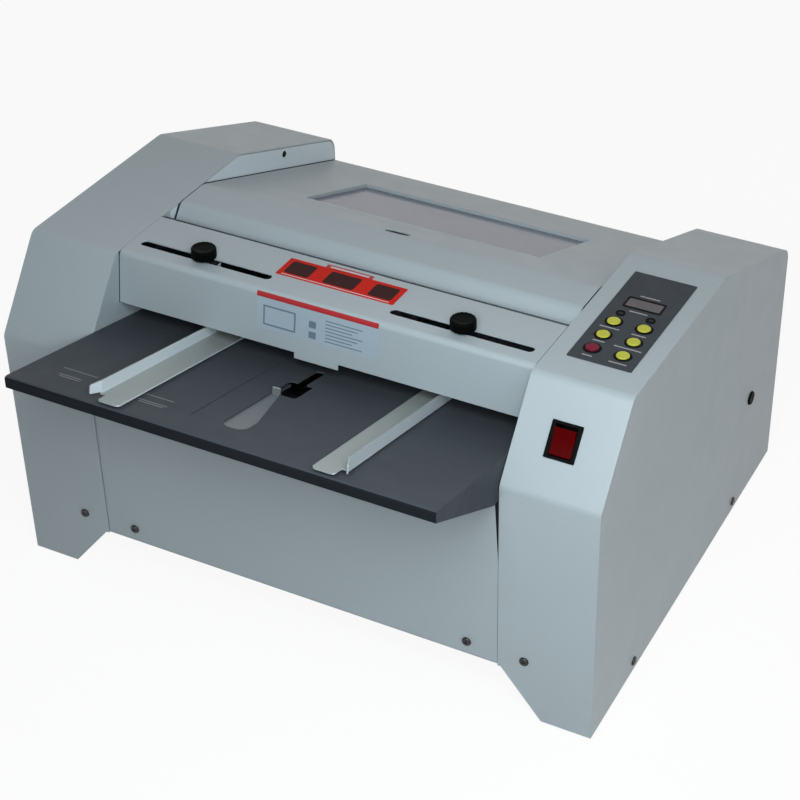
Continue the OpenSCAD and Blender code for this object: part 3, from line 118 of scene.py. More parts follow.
class Shader:
    """A material with its principled shader, built up node by node."""

    def __init__(self, name):
        self.material = bpy.data.materials.new(name)
        self.material.use_nodes = True
        self.tree = self.material.node_tree
        self.tree.nodes.clear()
        out = self.tree.nodes.new("ShaderNodeOutputMaterial")
        self.bsdf = self.tree.nodes.new("ShaderNodeBsdfPrincipled")
        self.tree.links.new(self.bsdf.outputs[0], out.inputs[0])
        coord = self.tree.nodes.new("ShaderNodeTexCoord")
        self.place = coord.outputs["Object"]

    def set(self, **values):
        for key, value in values.items():
            self.bsdf.inputs[key.replace("_", " ")].default_value = value

    def stretched(self, x, y, z):
        node = self.tree.nodes.new("ShaderNodeMapping")
        node.inputs["Scale"].default_value = (x, y, z)
        self.tree.links.new(self.place, node.inputs["Vector"])
        return node.outputs[0]

    def noise(self, scale, detail=2.0, rough=0.5, place=None):
        node = self.tree.nodes.new("ShaderNodeTexNoise")
        node.inputs["Scale"].default_value = scale
        node.inputs["Detail"].default_value = detail
        node.inputs["Roughness"].default_value = rough
        self.tree.links.new(place or self.place, node.inputs["Vector"])
        return node.outputs["Fac"]

    def cells(self, scale, feature="F1", place=None):
        node = self.tree.nodes.new("ShaderNodeTexVoronoi")
        node.feature = feature
        node.inputs["Scale"].default_value = scale
        self.tree.links.new(place or self.place, node.inputs["Vector"])
        return node.outputs["Distance"]

    def ramp(self, value, stops):
        node = self.tree.nodes.new("ShaderNodeValToRGB")
        ramp = node.color_ramp
        while len(ramp.elements) < len(stops):
            ramp.elements.new(0.5)
        for element, (at, colour) in zip(ramp.elements, stops):
            element.position = at
            element.color = colour
        self.tree.links.new(value, node.inputs[0])
        return node.outputs[0]

    def tinted(self, value, colour, low, high):
        """A colour made darker and lighter by a value."""
        return self.ramp(value, [(0.3, shade(colour, low)), (0.7, shade(colour, high))])

    def spread(self, value, low, high, start=0.3, end=0.7):
        node = self.tree.nodes.new("ShaderNodeMapRange")
        for key, v in (("From Min", start), ("From Max", end), ("To Min", low), ("To Max", high)):
            node.inputs[key].default_value = v
        self.tree.links.new(value, node.inputs["Value"])
        return node.outputs[0]

    def outside(self, planes, lift):
        """1 outside a convex profile and 0 inside it, with its planes moved out by lift."""
        share = None
        for normal, height in planes:
            node = self.tree.nodes.new("ShaderNodeVectorMath")
            node.operation = "DOT_PRODUCT"
            self.tree.links.new(self.place, node.inputs[0])
            node.inputs[1].default_value = normal
            edge = height + lift
            over = self.spread(node.outputs["Value"], 0.0, 1.0, (edge - PROFILE_BLUR) * MM, edge * MM)
            share = over if share is None else larger(self.tree, share, over)
        return share

    def mixed(self, share, a, b):
        node = self.tree.nodes.new("ShaderNodeMix")
        node.data_type = "RGBA"
        for socket, value in ((node.inputs[0], share), (node.inputs[6], a), (node.inputs[7], b)):
            if isinstance(value, bpy.types.NodeSocket):
                self.tree.links.new(value, socket)
            else:
                socket.default_value = value
        return node.outputs[2]

    def link(self, key, value):
        self.tree.links.new(value, self.bsdf.inputs[key])

    def bump(self, value, strength, distance):
        node = self.tree.nodes.new("ShaderNodeBump")
        node.inputs["Strength"].default_value = strength
        node.inputs["Distance"].default_value = distance
        self.tree.links.new(value, node.inputs["Height"])
        last = self.bsdf.inputs["Normal"]
        if last.is_linked:
            self.tree.links.new(last.links[0].from_socket, node.inputs["Normal"])
        self.tree.links.new(node.outputs[0], last)


def powder_coat(name, colour, rough=(0.40, 0.52), vary=0.05, grain=520.0, peel=0.10, gloss=0.5):
    s = Shader(name)
    s.set(Specular_IOR_Level=gloss)
    cloud = s.noise(5.0, 3.0)
    fleck = s.noise(1900.0, 1.0)
    base = s.tinted(cloud, colour, 1 - vary, 1 + vary)
    s.link("Base Color", s.mixed(s.spread(fleck, 0.0, 0.10, 0.55, 0.8), base, shade(colour, 0.7)))
    s.link("Roughness", s.spread(s.noise(40.0, 3.0), rough[0], rough[1]))
    s.bump(s.noise(grain, 2.0), peel, 0.0004)
    return s.material


def lit_and_shaded_frame_material():
    """Paint with painted light round the shut lid, where it is lighter than the plain paint in front, and
    painted shade, dark, in the gaps beside the lid and the front cover.
    """
    s = Shader("frame_coat_and_painted_shade")
    cloud = s.noise(5.0, 3.0)
    # Painted light: the frame's wall round the lid is lighter than the plain paint in front.
    pale = s.tinted(cloud, srgb(182, 194, 200), 0.975, 1.025)
    plain = s.tinted(cloud, srgb(146, 156, 161), 0.975, 1.025)
    coat = s.mixed(s.outside(LID_FRONT, 0.0), pale, plain)
    # Painted shade: dark inside the lid's and the front cover's profiles, where shadow falls in the gaps.
    for profile, gap in ((LID_PROFILE, LID_GAP), (COVER_PROFILE, COVER_GAP)):
        coat = s.mixed(s.outside(profile, gap), srgb(46, 52, 58), coat)
    s.link("Base Color", coat)
    s.link("Roughness", s.spread(s.noise(40.0, 3.0), 0.43, 0.50))
    s.bump(s.noise(520.0, 2.0), 0.10, 0.0004)
    return s.material


def brushed(name, colour, along=(1.0, 60.0, 60.0), rough=(0.26, 0.42)):
    s = Shader(name)
    streak = s.noise(30.0, 3.0, 0.6, s.stretched(*along))
    s.set(Metallic=1.0)
    s.link("Base Color", s.tinted(streak, colour, 0.82, 1.1))
    s.link("Roughness", s.spread(streak, rough[0], rough[1]))
    s.bump(streak, 0.06, 0.0002)
    return s.material


def moulded(name, colour, rough=(0.32, 0.46), grain=900.0, peel=0.08, vary=0.06, gloss=0.5):
    s = Shader(name)
    s.set(Specular_IOR_Level=gloss)
    s.link("Base Color", s.tinted(s.noise(35.0, 3.0), colour, 1 - vary, 1 + vary))
    s.link("Roughness", s.spread(s.noise(120.0, 2.0), rough[0], rough[1]))
    s.bump(s.noise(grain, 2.0), peel, 0.0003)
    return s.material


def rubbery(name, colour):
    s = Shader(name)
    s.link("Base Color", s.tinted(s.noise(60.0, 4.0), colour, 0.8, 1.25))
    s.link("Roughness", s.spread(s.noise(300.0, 2.0), 0.66, 0.84))
    s.bump(s.noise(1400.0, 3.0), 0.25, 0.0003)
    return s.material


def pane_material():
    s = Shader("window_pane")
    haze = s.noise(9.0, 3.0)
    s.set(IOR=1.49, Transmission_Weight=0.3, Specular_IOR_Level=0.03)
    s.link("Base Color", s.ramp(haze, [(0.3, srgb(134, 140, 156)), (0.7, srgb(141, 147, 163))]))
    s.link("Roughness", s.spread(s.noise(70.0, 3.0), 0.10, 0.22))
    s.bump(s.noise(14.0, 1.0), 0.03, 0.001)
    return s.material


def board_material():
    s = Shader("board_laminate")
    lines = s.cells(160.0, "DISTANCE_TO_EDGE")
    s.link("Base Color", s.ramp(lines, [(0.02, srgb(120, 170, 120)), (0.08, srgb(28, 92, 52))]))
    s.link("Roughness", s.spread(s.noise(200.0), 0.3, 0.5))
    s.bump(lines, 0.1, 0.0002)
    return s.material


housing = powder_coat("housing_paint", srgb(155, 164, 168), (0.43, 0.50), 0.025)
base_paint = powder_coat("base_paint", srgb(140, 148, 152))
tray_paint = powder_coat("tray_paint", srgb(61, 65, 70), (0.46, 0.60), 0.07, 620.0, 0.16, 0.1)
# Painted light: the second guide paint is a lighter copy for the guides' faces towards +X, where light
# falls; the first stays darker on the flanges.
guide_paint = powder_coat("guide_paint", srgb(138, 144, 142), (0.34, 0.46), 0.03)
guide_wall_painted_light = powder_coat("guide_wall_painted_light", srgb(178, 187, 193), (0.34, 0.46), 0.03)
pusher_paint = powder_coat("pusher_paint", srgb(98, 102, 105), (0.34, 0.46), 0.03)
# Painted shade: a darker copy of the tray paint for its front lip, which gets less light.
tray_lip_painted_shade = powder_coat("tray_lip_painted_shade", srgb(28, 31, 35), (0.46, 0.60), 0.07, 620.0, 0.16, 0.03)
steel = brushed("steel", srgb(190, 192, 196))
dark_steel = powder_coat("dark_steel", srgb(62, 64, 70), (0.4, 0.55), 0.1)
# Painted shade: near-black paint for the guides' tabs, seen through the cover's slots, standing in for the
# shade in the slots.
guide_tab_painted_shade = powder_coat("guide_tab_painted_shade", srgb(20, 22, 25), (0.30, 0.42), 0.1, 900.0, 0.05, 0.12)
screw_oxide = powder_coat("screw_oxide", srgb(12, 13, 15), (0.16, 0.24), 0.1, 900.0, 0.03, 0.5)
frame_coat_and_painted_shade = lit_and_shaded_frame_material()
bronze = brushed("bronze", srgb(196, 152, 92), (40.0, 40.0, 40.0), (0.35, 0.5))
foot_rubber = rubbery("foot_rubber", srgb(40, 40, 42))
roller_rubber = rubbery("roller_rubber", srgb(72, 72, 76))
knob_plastic = moulded("knob_plastic", srgb(5, 6, 6), (0.40, 0.54), 1100.0, 0.14, 0.06, 0.02)
overlay_film = moulded("overlay_film", srgb(56, 60, 64), (0.46, 0.58), 1600.0, 0.10, 0.05, 0.08)
lens = moulded("lens", srgb(80, 74, 76), (0.16, 0.26), 60.0, 0.02, 0.10, 0.25)
lamp = moulded("lamp", srgb(14, 14, 16), (0.18, 0.26), 200.0, 0.03, 0.06, 0.12)
black_plastic = moulded("black_plastic", srgb(7, 8, 9), (0.34, 0.46), 900.0, 0.06, 0.06, 0.03)
yellow_plastic = moulded("yellow_plastic", srgb(178, 177, 60), (0.30, 0.42), 700.0, 0.05, 0.06, 0.2)
red_plastic = moulded("red_plastic", srgb(105, 9, 38), (0.30, 0.42), 700.0, 0.05, 0.06, 0.12)
rocker_plastic = moulded("rocker_plastic", srgb(74, 1, 2), (0.26, 0.38), 500.0, 0.03, 0.12, 0.03)
gear_plastic = moulded("gear_plastic", srgb(226, 222, 206), (0.4, 0.55))
motor_paint = powder_coat("motor_paint", srgb(48, 48, 52), (0.3, 0.42))
supply_case = brushed("supply_case", srgb(200, 202, 204), (60.0, 1.0, 60.0), (0.4, 0.55))
pane = pane_material()
board = board_material()
label_red = moulded("label_red", srgb(188, 32, 22), (0.34, 0.46), 1200.0, 0.06, 0.10, 0.05)
label_crimson = moulded("label_crimson", srgb(160, 42, 46), (0.34, 0.46), 1200.0, 0.06, 0.05, 0.2)
label_white = moulded("label_white", srgb(152, 166, 176), (0.34, 0.46), 1200.0, 0.06, 0.02)
print_white = moulded("print_white", srgb(186, 182, 186), (0.5, 0.6), 1500.0, 0.03, 0.03)
print_caption = moulded("print_caption", srgb(152, 148, 152), (0.5, 0.6), 1500.0, 0.03, 0.03, 0.2)
print_black = moulded("print_black", srgb(46, 18, 18), (0.4, 0.5), 1500.0, 0.03, 0.05, 0.05)
print_grey = moulded("print_grey", srgb(96, 112, 126), (0.5, 0.6), 1500.0, 0.03, 0.05)
# Painted shade: dark paint for the shadow in gaps between parts.
gap_painted_shade = moulded("gap_painted_shade", srgb(24, 27, 32), (0.5, 0.6), 1500.0, 0.03, 0.05, 0.03)
# Painted shade: grey for the strip that stands in for the shadow in the gutter under the lid's nose.
gutter_painted_shade = rubbery("gutter_painted_shade", srgb(66, 74, 80))
print_dim = moulded("print_dim", srgb(104, 104, 104), (0.5, 0.6), 1500.0, 0.03, 0.08)

LOOK = {
    "housing_paint": housing, "base_paint": base_paint, "tray_paint": tray_paint,
    "guide_paint": guide_paint, "pusher_paint": pusher_paint, "steel": steel, "dark_steel": dark_steel,
    "bronze": bronze, "foot_rubber": foot_rubber, "roller_rubber": roller_rubber,
    "knob_plastic": knob_plastic, "overlay_film": overlay_film, "lens": lens, "lamp": lamp,
    "black_plastic": black_plastic, "yellow_plastic": yellow_plastic, "red_plastic": red_plastic,
    "rocker_plastic": rocker_plastic, "pane": pane, "gear_plastic": gear_plastic,
    "motor_paint": motor_paint, "board": board, "supply_case": supply_case,
}
SLOT = {s["node"]: s["material_slot"] for s in frame["record"]["subparts"]}
BODY = {n: b for b, members in frame["record"]["behaviour"]["bodies"].items() for n in members}


def paint(obj, material):
    obj.data.materials.clear()
    obj.data.materials.append(material)


for name, obj in nodes.items():
    paint(obj, LOOK[SLOT[name]])
for name, material in (
    ("housing_screws", screw_oxide), ("fuse_cap", knob_plastic),
    ("left_side_frame", frame_coat_and_painted_shade), ("right_side_frame", frame_coat_and_painted_shade),
):
    paint(nodes[name], material)

# Planes and the front cover's profile

CONTROL_START = (60, 327)
CONTROL_FALL = 8
CONTROL_RUN = 209
TRAY_START = (-110, 304)
TRAY_SLOPE = 15


def plane_at(origin, along, normal):
    """Matrix whose X is the row's X, whose Y is along and whose Z is normal."""
    m = Matrix((Vector((1, 0, 0)), along, normal)).transposed().to_4x4()
    return Matrix.Translation(origin) @ m


def sloped_plane(origin, angle):
    """A plane that falls towards the back."""
    along = Vector((0, math.cos(angle), -math.sin(angle)))
    return plane_at(origin, along, Vector((0, math.sin(angle), math.cos(angle))))


def control_z(y):
    """Height of the control faces and of the top of the front cover."""
    return CONTROL_START[1] - (y - CONTROL_START[0]) * CONTROL_FALL / CONTROL_RUN


control_plane = sloped_plane(point(0, *CONTROL_START), math.atan2(CONTROL_FALL, CONTROL_RUN))
tray_plane = sloped_plane(point(0, *TRAY_START), math.radians(TRAY_SLOPE))
panel_plane = plane_at(point(0, 1, 0), Vector((0, 0, 1)), Vector((0, -1, 0)))

COVER_FRONT_Y = 66.0
COVER_BACK_Y = 137.0
COVER_LEAN = 8.0
COVER_FACE_H = 50.0
FOLD_R = 6.0
FOLD = Vector((COVER_FRONT_Y, control_z(COVER_FRONT_Y)))
FACE_LOW = FOLD - Vector((COVER_LEAN, COVER_FACE_H))
TOP_BACK = Vector((COVER_BACK_Y, control_z(COVER_BACK_Y)))
face_down = (FACE_LOW - FOLD).normalized()
top_back = (TOP_BACK - FOLD).normalized()
half_open = face_down.angle(top_back) / 2
arc_start = FOLD_R / math.tan(half_open)
arc_middle = FOLD + (face_down + top_back).normalized() * (FOLD_R / math.sin(half_open))
face_out = Vector((face_down.y, -face_down.x))
face_up = Vector((0, -face_down.x, -face_down.y))
face_plane = plane_at(point(0, *FOLD), face_up, Vector((1, 0, 0)).cross(face_up))


def on_fold(x, s, h):
    """A point h over the front cover, s down its profile from the middle of its front bend."""
    if s >= arc_start:
        return point(x, *(FOLD + face_down * s + face_out * h))
    turn = -(1 - s / arc_start) * (math.pi / 2 - half_open)
    c, k = math.cos(turn), math.sin(turn)
    out = Vector((face_out.x * c - face_out.y * k, face_out.x * k + face_out.y * c))
    return point(x, *(arc_middle + out * (FOLD_R + h)))


# Skins: copies of sheet-metal nodes with eased edges


def applied(obj):
    """Gives the object the mesh that its modifiers make."""
    graph = bpy.context.evaluated_depsgraph_get()
    mesh = bpy.data.meshes.new_from_object(obj.evaluated_get(graph))
    obj.modifiers.clear()
    obj.data = mesh
    return mesh


# Sheets that the bevel's clamp would leave with no easing, with a rule for the edges that stay sharp
HIDDEN_GUIDE = -100 * MM
COVER_END = 198.5 * MM
HEM_TOP = 279 * MM
HEM_FRONT = -111.5 * MM
UNCLAMPED = {
    "top_lid": lambda at: False,
    "left_guide": lambda at: at.y > HIDDEN_GUIDE,
    "right_guide": lambda at: at.y > HIDDEN_GUIDE,
    "front_cover": lambda at: abs(at.x) > COVER_END or (at.z < HEM_TOP and at.y > HEM_FRONT),
}
WELD = 2e-6
FLAT_ANGLE = math.radians(0.6)
EASED_ANGLE = math.radians(34)
SHARP_ANGLE = math.radians(50)
EASE_SEGMENTS = 3


def skin(node, width):
    """A copy of a node with its sharp edges eased, shown in its place."""
    mesh = nodes[node].data.copy()
    obj = bpy.data.objects.new(node + "_skin", mesh)
    scene.collection.objects.link(obj)
    stays_sharp = UNCLAMPED.get(node, lambda at: False)
    bm = bmesh.new()
    bm.from_mesh(mesh)
    bmesh.ops.remove_doubles(bm, verts=bm.verts, dist=WELD)
    bmesh.ops.dissolve_limit(bm, angle_limit=FLAT_ANGLE, verts=bm.verts, edges=bm.edges)
    bmesh.ops.recalc_face_normals(bm, faces=bm.faces)
    weight = bm.edges.layers.float.new("bevel_weight_edge")
    for edge in bm.edges:
        middle = (edge.verts[0].co + edge.verts[1].co) / 2
        turned = edge.calc_face_angle(0) > EASED_ANGLE
        edge[weight] = 1.0 if turned and not stays_sharp(middle) else 0.0
    bm.to_mesh(mesh)
    bm.free()
    bevel = obj.modifiers.new("ease", "BEVEL")
    bevel.width = width * MM
    bevel.segments = EASE_SEGMENTS
    bevel.limit_method = "WEIGHT"
    bevel.use_clamp_overlap = node not in UNCLAMPED
    bevel.miter_outer = "MITER_ARC"
    mesh = applied(obj)
    mesh.shade_smooth()
    mesh.set_sharp_from_angle(angle=SHARP_ANGLE)
    flat = obj.modifiers.new("flat", "WEIGHTED_NORMAL")
    flat.mode = "FACE_AREA"
    flat.keep_sharp = True
    applied(obj)
    paint(obj, LOOK[SLOT[node]])
    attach(obj, BODY[node])
    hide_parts(node)
    return obj


skins = {}
for node, width in (
    ("left_side_cover", 1.0), ("right_side_cover", 1.0), ("front_cover", 0.3), ("top_lid", 0.4),
    ("front_panel", 0.4), ("rear_panel", 0.4), ("input_tray", 0.45), ("left_guide", 0.25),
    ("right_guide", 0.25), ("switch_bezel", 0.5), ("control_overlay", 0.15), ("base_pan", 0.4),
    ("stack_pusher", 0.4),
):
    skins[node] = skin(node, width)


def second_coat(obj, material, picked):
    """Gives another material to the faces whose middle and normal are picked."""
    obj.data.materials.append(material)
    last = len(obj.data.materials) - 1
    for face in obj.data.polygons:
        if picked(face.center, face.normal):
            face.material_index = last


FACING = 0.5
TAB_LOW = -5.0 * MM
LIP_BACK = point(0, -100, 0).y
PUSHER_TAB = 3.0 * MM
to_control = control_plane.inverted()
to_tray = tray_plane.inverted()
for node in ("left_guide", "right_guide"):
    # Painted light: the guides' faces towards +X get the lighter copy of their paint.
    second_coat(skins[node], guide_wall_painted_light, lambda at, out: out.x > FACING)
    # Painted shade: the guides' tabs under the front cover are near black, for the shade in its slots.
    second_coat(skins[node], guide_tab_painted_shade, lambda at, out: (to_control @ at).z > TAB_LOW)
# Painted shade: the tray's faces towards the front at its lip are darker.
second_coat(skins["input_tray"], tray_lip_painted_shade, lambda at, out: at.y < LIP_BACK and out.y < -FACING)
# Painted shade: the front cover's faces at its ends that face inwards are dark, for the shadow in the gap
# beside the side covers.
second_coat(skins["front_cover"], gap_painted_shade, lambda at, out: abs(at.x) > COVER_END and at.x * out.x < 0)
second_coat(skins["stack_pusher"], guide_paint, lambda at, out: (to_tray @ at).z > PUSHER_TAB)

# Pieces of the scene alone

PIECE_SHARP_ANGLE = math.radians(40)
BEND_ROWS = 8


def outline(x0, x1, y0, y1, r, steps=6):
    """Points of a rectangle with round corners."""
    pts = []
    corners = (x1 - r, y0 + r, -90), (x1 - r, y1 - r, 0), (x0 + r, y1 - r, 90), (x0 + r, y0 + r, 180)
    for cx, cy, start in corners:
        for i in range(steps + 1):
            a = math.radians(start + 90 * i / steps)
            pts.append((cx + r * math.cos(a), cy + r * math.sin(a)))
    return pts


def piece(name, bm, material, body):
    """A new object of the scene on a body, from its finished mesh."""
    bmesh.ops.recalc_face_normals(bm, faces=bm.faces)
    mesh = bpy.data.meshes.new(name)
    bm.to_mesh(mesh)
    bm.free()
    obj = bpy.data.objects.new(name, mesh)
    scene.collection.objects.link(obj)
    paint(obj, material)
    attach(obj, body)
    return obj


def plate(name, place, shapes, low, high, material):
    """Thin printed or cut pieces, each given by its outline in millimetres on a plane, as one mesh."""
    bm = bmesh.new()
    for pts in shapes:
        bottom = [bm.verts.new(place @ Vector((x * MM, y * MM, low * MM))) for x, y in pts]
        top = [bm.verts.new(place @ Vector((x * MM, y * MM, high * MM))) for x, y in pts]
        n = len(pts)
        bm.faces.new(top)
        bm.faces.new(list(reversed(bottom)))
        for i in range(n):
            bm.faces.new((bottom[i], bottom[(i + 1) % n], top[(i + 1) % n], top[i]))
    piece(name, bm, material, "housing")


def frame_plate(name, place, shapes, low, high, material):
    """Closed bands on a plane, each between an outer and an inner outline of as many points."""
    bm = bmesh.new()
    for outer, inner in shapes:
        rings = [
            [bm.verts.new(place @ Vector((x * MM, y * MM, z * MM))) for x, y in pts]
            for pts, z in ((outer, low), (outer, high), (inner, high), (inner, low))
        ]
        n = len(outer)
        for k in range(4):
            a, b = rings[k], rings[(k + 1) % 4]
            for i in range(n):
                bm.faces.new((a[i], a[(i + 1) % n], b[(i + 1) % n], b[i]))
    piece(name, bm, material, "housing")


def bent_label(name, x0, x1, s0, s1, r, low, high, material):
    """A label that follows the bend and the face of the front cover, with round corners."""
    ends = [r * (1 - math.cos(math.radians(a))) for a in range(0, 91, 15)]
    rows = [s0 + e for e in ends]
    rows += [
        s0 + r + (arc_start - s0 - r) * (i + 1) / BEND_ROWS for i in range(BEND_ROWS) if s0 + r < arc_start
    ]
    rows += [s1 - e for e in reversed(ends)]
    rows = sorted({round(v, 4) for v in rows if s0 <= v <= s1})
    bm = bmesh.new()
    strips = []
    for v in rows:
        edge = min(v - s0, s1 - v, r)
        inset = r - math.sqrt(max(0.0, r * r - (r - edge) ** 2))
        strips.append([bm.verts.new(on_fold(x, v, h)) for x, h in (
            (x0 + inset, low), (x0 + inset, high), (x1 - inset, high), (x1 - inset, low)
        )])
    for a, b in zip(strips, strips[1:]):
        for i in range(4):
            bm.faces.new((a[i], a[(i + 1) % 4], b[(i + 1) % 4], b[i]))
    bm.faces.new(strips[0])
    bm.faces.new(list(reversed(strips[-1])))
    obj = piece(name, bm, material, "housing")
    obj.data.shade_smooth()
    obj.data.set_sharp_from_angle(angle=PIECE_SHARP_ANGLE)


def bars(spans, width):
    """Outlines of thin bars, each given by its ends along X and its place along Y."""
    return [outline(x0, x1, y - width / 2, y + width / 2, 0.3 * width, 3) for x0, x1, y in spans]


# Clamp knobs: fluted grips with a dished top, on their studs

FLUTES = 16
FLUTE_STEPS = 8
FLUTE_DEPTH = 0.5
FLUTE_POWER = 1.5
CORNER_STEPS = 5
KNOB_ALONG = 27.0
KNOB_GAP = 0.3


def rounded_corner(r, z, radius, start):
    """Points of a quarter circle round the middle (r, z), from the angle start on."""
    turns = [math.radians(start + 90 * i / CORNER_STEPS) for i in range(CORNER_STEPS + 1)]
    return [(r + radius * math.cos(t), z + radius * math.sin(t)) for t in turns]


def knob(node):
    """A knob turned from points that say radius, height and whether the grip's flutes cut in."""
    low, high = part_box(node)
    middle = Vector(((low[0] + high[0]) / 2, KNOB_ALONG * MM, KNOB_GAP * MM))
    place = control_plane @ Matrix.Translation(middle)
    stud = [(3.0, -8.6, 0), (3.0, 0, 0), (6.75, 0, 0), (6.75, 2.0, 0)]
    grip = [(r, z, 1) for r, z in rounded_corner(10.05, 3.2, 1.2, -90) + rounded_corner(9.65, 9.9, 1.6, 0)]
    top = [(9.0, 11.5, 0), (8.4, 11.2, 0), (4.0, 11.1, 0)]
    count = FLUTES * FLUTE_STEPS
    bm = bmesh.new()
    rings = []
    for r, z, fluted in stud + grip + top:
        ring = []
        for i in range(count):
            t = 2 * math.pi * i / count
            edge = r - fluted * FLUTE_DEPTH * max(0.0, math.cos(FLUTES * t)) ** FLUTE_POWER
            ring.append(bm.verts.new(place @ (Vector((edge * math.cos(t), edge * math.sin(t), z)) * MM)))
        rings.append(ring)
    for a, b in zip(rings, rings[1:]):
        for i in range(count):
            bm.faces.new((a[i], a[(i + 1) % count], b[(i + 1) % count], b[i]))
    bm.faces.new(list(reversed(rings[0])))
    bm.faces.new(rings[-1])
    obj = piece(node + "_skin", bm, LOOK[SLOT[node]], BODY[node])
    obj.data.shade_smooth()
    obj.data.set_sharp_from_angle(angle=PIECE_SHARP_ANGLE)
    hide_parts(node)


for node in ("left_knob", "right_knob"):
    knob(node)

# Printed pieces. Heights are in millimetres over their planes.

STUCK_LOW = 0.02
LABEL_TOP = 0.18
LABEL_TAB_TOP = 0.16
LABEL_PRINT_TOP = 0.22
FACE_LABEL_TOP = 0.15
FACE_BAR_TOP = 0.22
FACE_PRINT_TOP = 0.2
OVERLAY_TOP = 0.8
CAPTION_TOP = 0.86
DISPLAY_LOW = 1.0
RIM_TOP = 1.5
TRAY_MARK_TOP = 0.05
SEAM_TOP = 0.08
# Heights of the grey strip in the gutter under the nose, which stands in for the shadow there (painted
# shade).
SHADE_STRIP_LOW = -9.0
SHADE_STRIP_TOP = -1.6
LAMP_R = 2.5

# Plain red label on the front cover, with darker tiles and pale bars
sheet = [outline(-59, 56, 35, 63.8, 1.2)]
plate("top_label", control_plane, sheet, 0.0, LABEL_TOP, label_red)
tab = [outline(-25, 20.7, 63.4, 69, 0.8)]
plate("top_label_tab", control_plane, tab, 0.0, LABEL_TAB_TOP, label_crimson)
tiles = [outline(x0, x1, 40, 60, 2.5) for x0, x1 in ((-54, -30), (-16, 14), (28, 51))]
plate("top_label_tiles", control_plane, tiles, LABEL_TOP, LABEL_PRINT_TOP, print_black)
pale = bars([(-21, 17, 66)], 2.2) + bars([(-54, 51, 37.4)], 1.0)
plate("top_label_bars", control_plane, pale, LABEL_TOP, LABEL_PRINT_TOP, print_white)

# Pale label over the bend of the front cover: header bar, framed box and thin bars
bent_label("face_label", -59.6, 58.4, 0.8, 36, 1.0, STUCK_LOW, FACE_LABEL_TOP, label_white)
bent_label(
    "face_label_bar", -59.6, 58.4, 0.8, 6.2, 0.8, FACE_LABEL_TOP, FACE_BAR_TOP, label_crimson
)
boxes = [(outline(-53, -21, -32, -13, 1.0), outline(-51.4, -22.6, -30.4, -14.6, 0.6))]
frame_plate("face_label_box", face_plane, boxes, FACE_LABEL_TOP, FACE_PRINT_TOP, print_grey)
lines = bars([(8, 44 - 5 * (i % 3), -12.5 - 3.2 * i) for i in range(7)], 1.0)
lines += [outline(-8, -1, y - 3.2, y + 3.2, 0.8) for y in (-19.5, -29.5)]
plate("face_label_lines", face_plane, lines, FACE_LABEL_TOP, FACE_PRINT_TOP, print_grey)

# Caption bars, the dark frame of the display and the lamps' rims on the control overlay
captions = bars([
    (223.5, 241, 85.6), (227, 237.7, 62.8), (227.7, 236.7, 38.8), (252.3, 265, 84.8), (246.2, 270.2, 62.4),
    (251.2, 266.9, 38.8), (236.5, 254.5, 143.6), (236.9, 253.3, 117.4)
], 1.4)
plate("overlay_captions", control_plane, captions, OVERLAY_TOP, CAPTION_TOP, print_caption)
rims = [(outline(228.4, 262.6, 122.1, 138.9, 1.4), outline(229.9, 261.1, 123.6, 137.4, 0.7))]
frame_plate("display_frame", control_plane, rims, DISPLAY_LOW, RIM_TOP, black_plastic)
lamp_low, lamp_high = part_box("indicator_lamps")
lamp_xs = (lamp_low[0] / MM + LAMP_R, lamp_high[0] / MM - LAMP_R)
rims = [
    (outline(x - 4.2, x + 4.2, 106.3, 114.7, 4.2), outline(x - 2.7, x + 2.7, 107.8, 113.2, 2.7))
    for x in lamp_xs
]
frame_plate("lamp_rims", control_plane, rims, OVERLAY_TOP, RIM_TOP, black_plastic)

# Faint bars that mark paper sizes on the tray
marks = bars([
    (-174, -139, 47.8), (-170, -147, 35), (-167, -147, 31.5),
    (-92, -63, 46), (-90, -62, 34), (-88, -64, 30.5),
], 1.3)
plate("tray_marks", tray_plane, marks, 0.0, TRAY_MARK_TOP, print_dim)

# Blanking plugs in the side frames' holes
PLUG = (350, 277)
PLUG_R = 3.3
PLUG_TIP_R = 2.8
PLUG_H = 0.8
PLUG_STEPS = 32
FRAME_X = 201
bm = bmesh.new()
for side in (-1, 1):
    plug_at = point(side * (FRAME_X - PLUG_H / 2), *PLUG)
    bmesh.ops.create_cone(
        bm, cap_ends=True, segments=PLUG_STEPS,
        radius1=PLUG_R * MM, radius2=PLUG_TIP_R * MM, depth=PLUG_H * MM,
        matrix=Matrix.Translation(plug_at) @ Matrix.Rotation(-side * math.pi / 2, 4, "Y"),
    )
piece("frame_plugs", bm, black_plastic, "housing")

# Painted shade: a dark strip in the open seam between the front panel and the right side cover, and a grey
# strip in the gutter under the nose, both for the shadow there
open_seam = [(196.6, 236), (200.3, 168), (200.3, 54.5), (200.9, 54.5), (200.9, 236)]
plate("panel_seam_shade", panel_plane, [open_seam], STUCK_LOW, SEAM_TOP, gap_painted_shade)
# Painted shade: a grey strip on the front cover's back flange, in the gutter under the lid's nose, for the
# shadow there.
gutter_shade_outline = [outline(-200, 200, 77.1, 78.1, 0.3)]
plate("gutter_shade_strip", control_plane, gutter_shade_outline, SHADE_STRIP_LOW, SHADE_STRIP_TOP, gutter_painted_shade)

# Studio

FLOOR_HALF = 6.0
FLOOR_GLOW = 0.92
WORLD_LIGHT = 0.1
COOL = (0.87, 0.957, 1.0)


def seen_straight(tree, ray):
    """1 for camera, glossy and transmission rays, which see the plain background, otherwise 0."""
    value = ray.outputs["Is Camera Ray"]
    for key in ("Is Glossy Ray", "Is Transmission Ray"):
        value = larger(tree, value, ray.outputs[key])
    return value


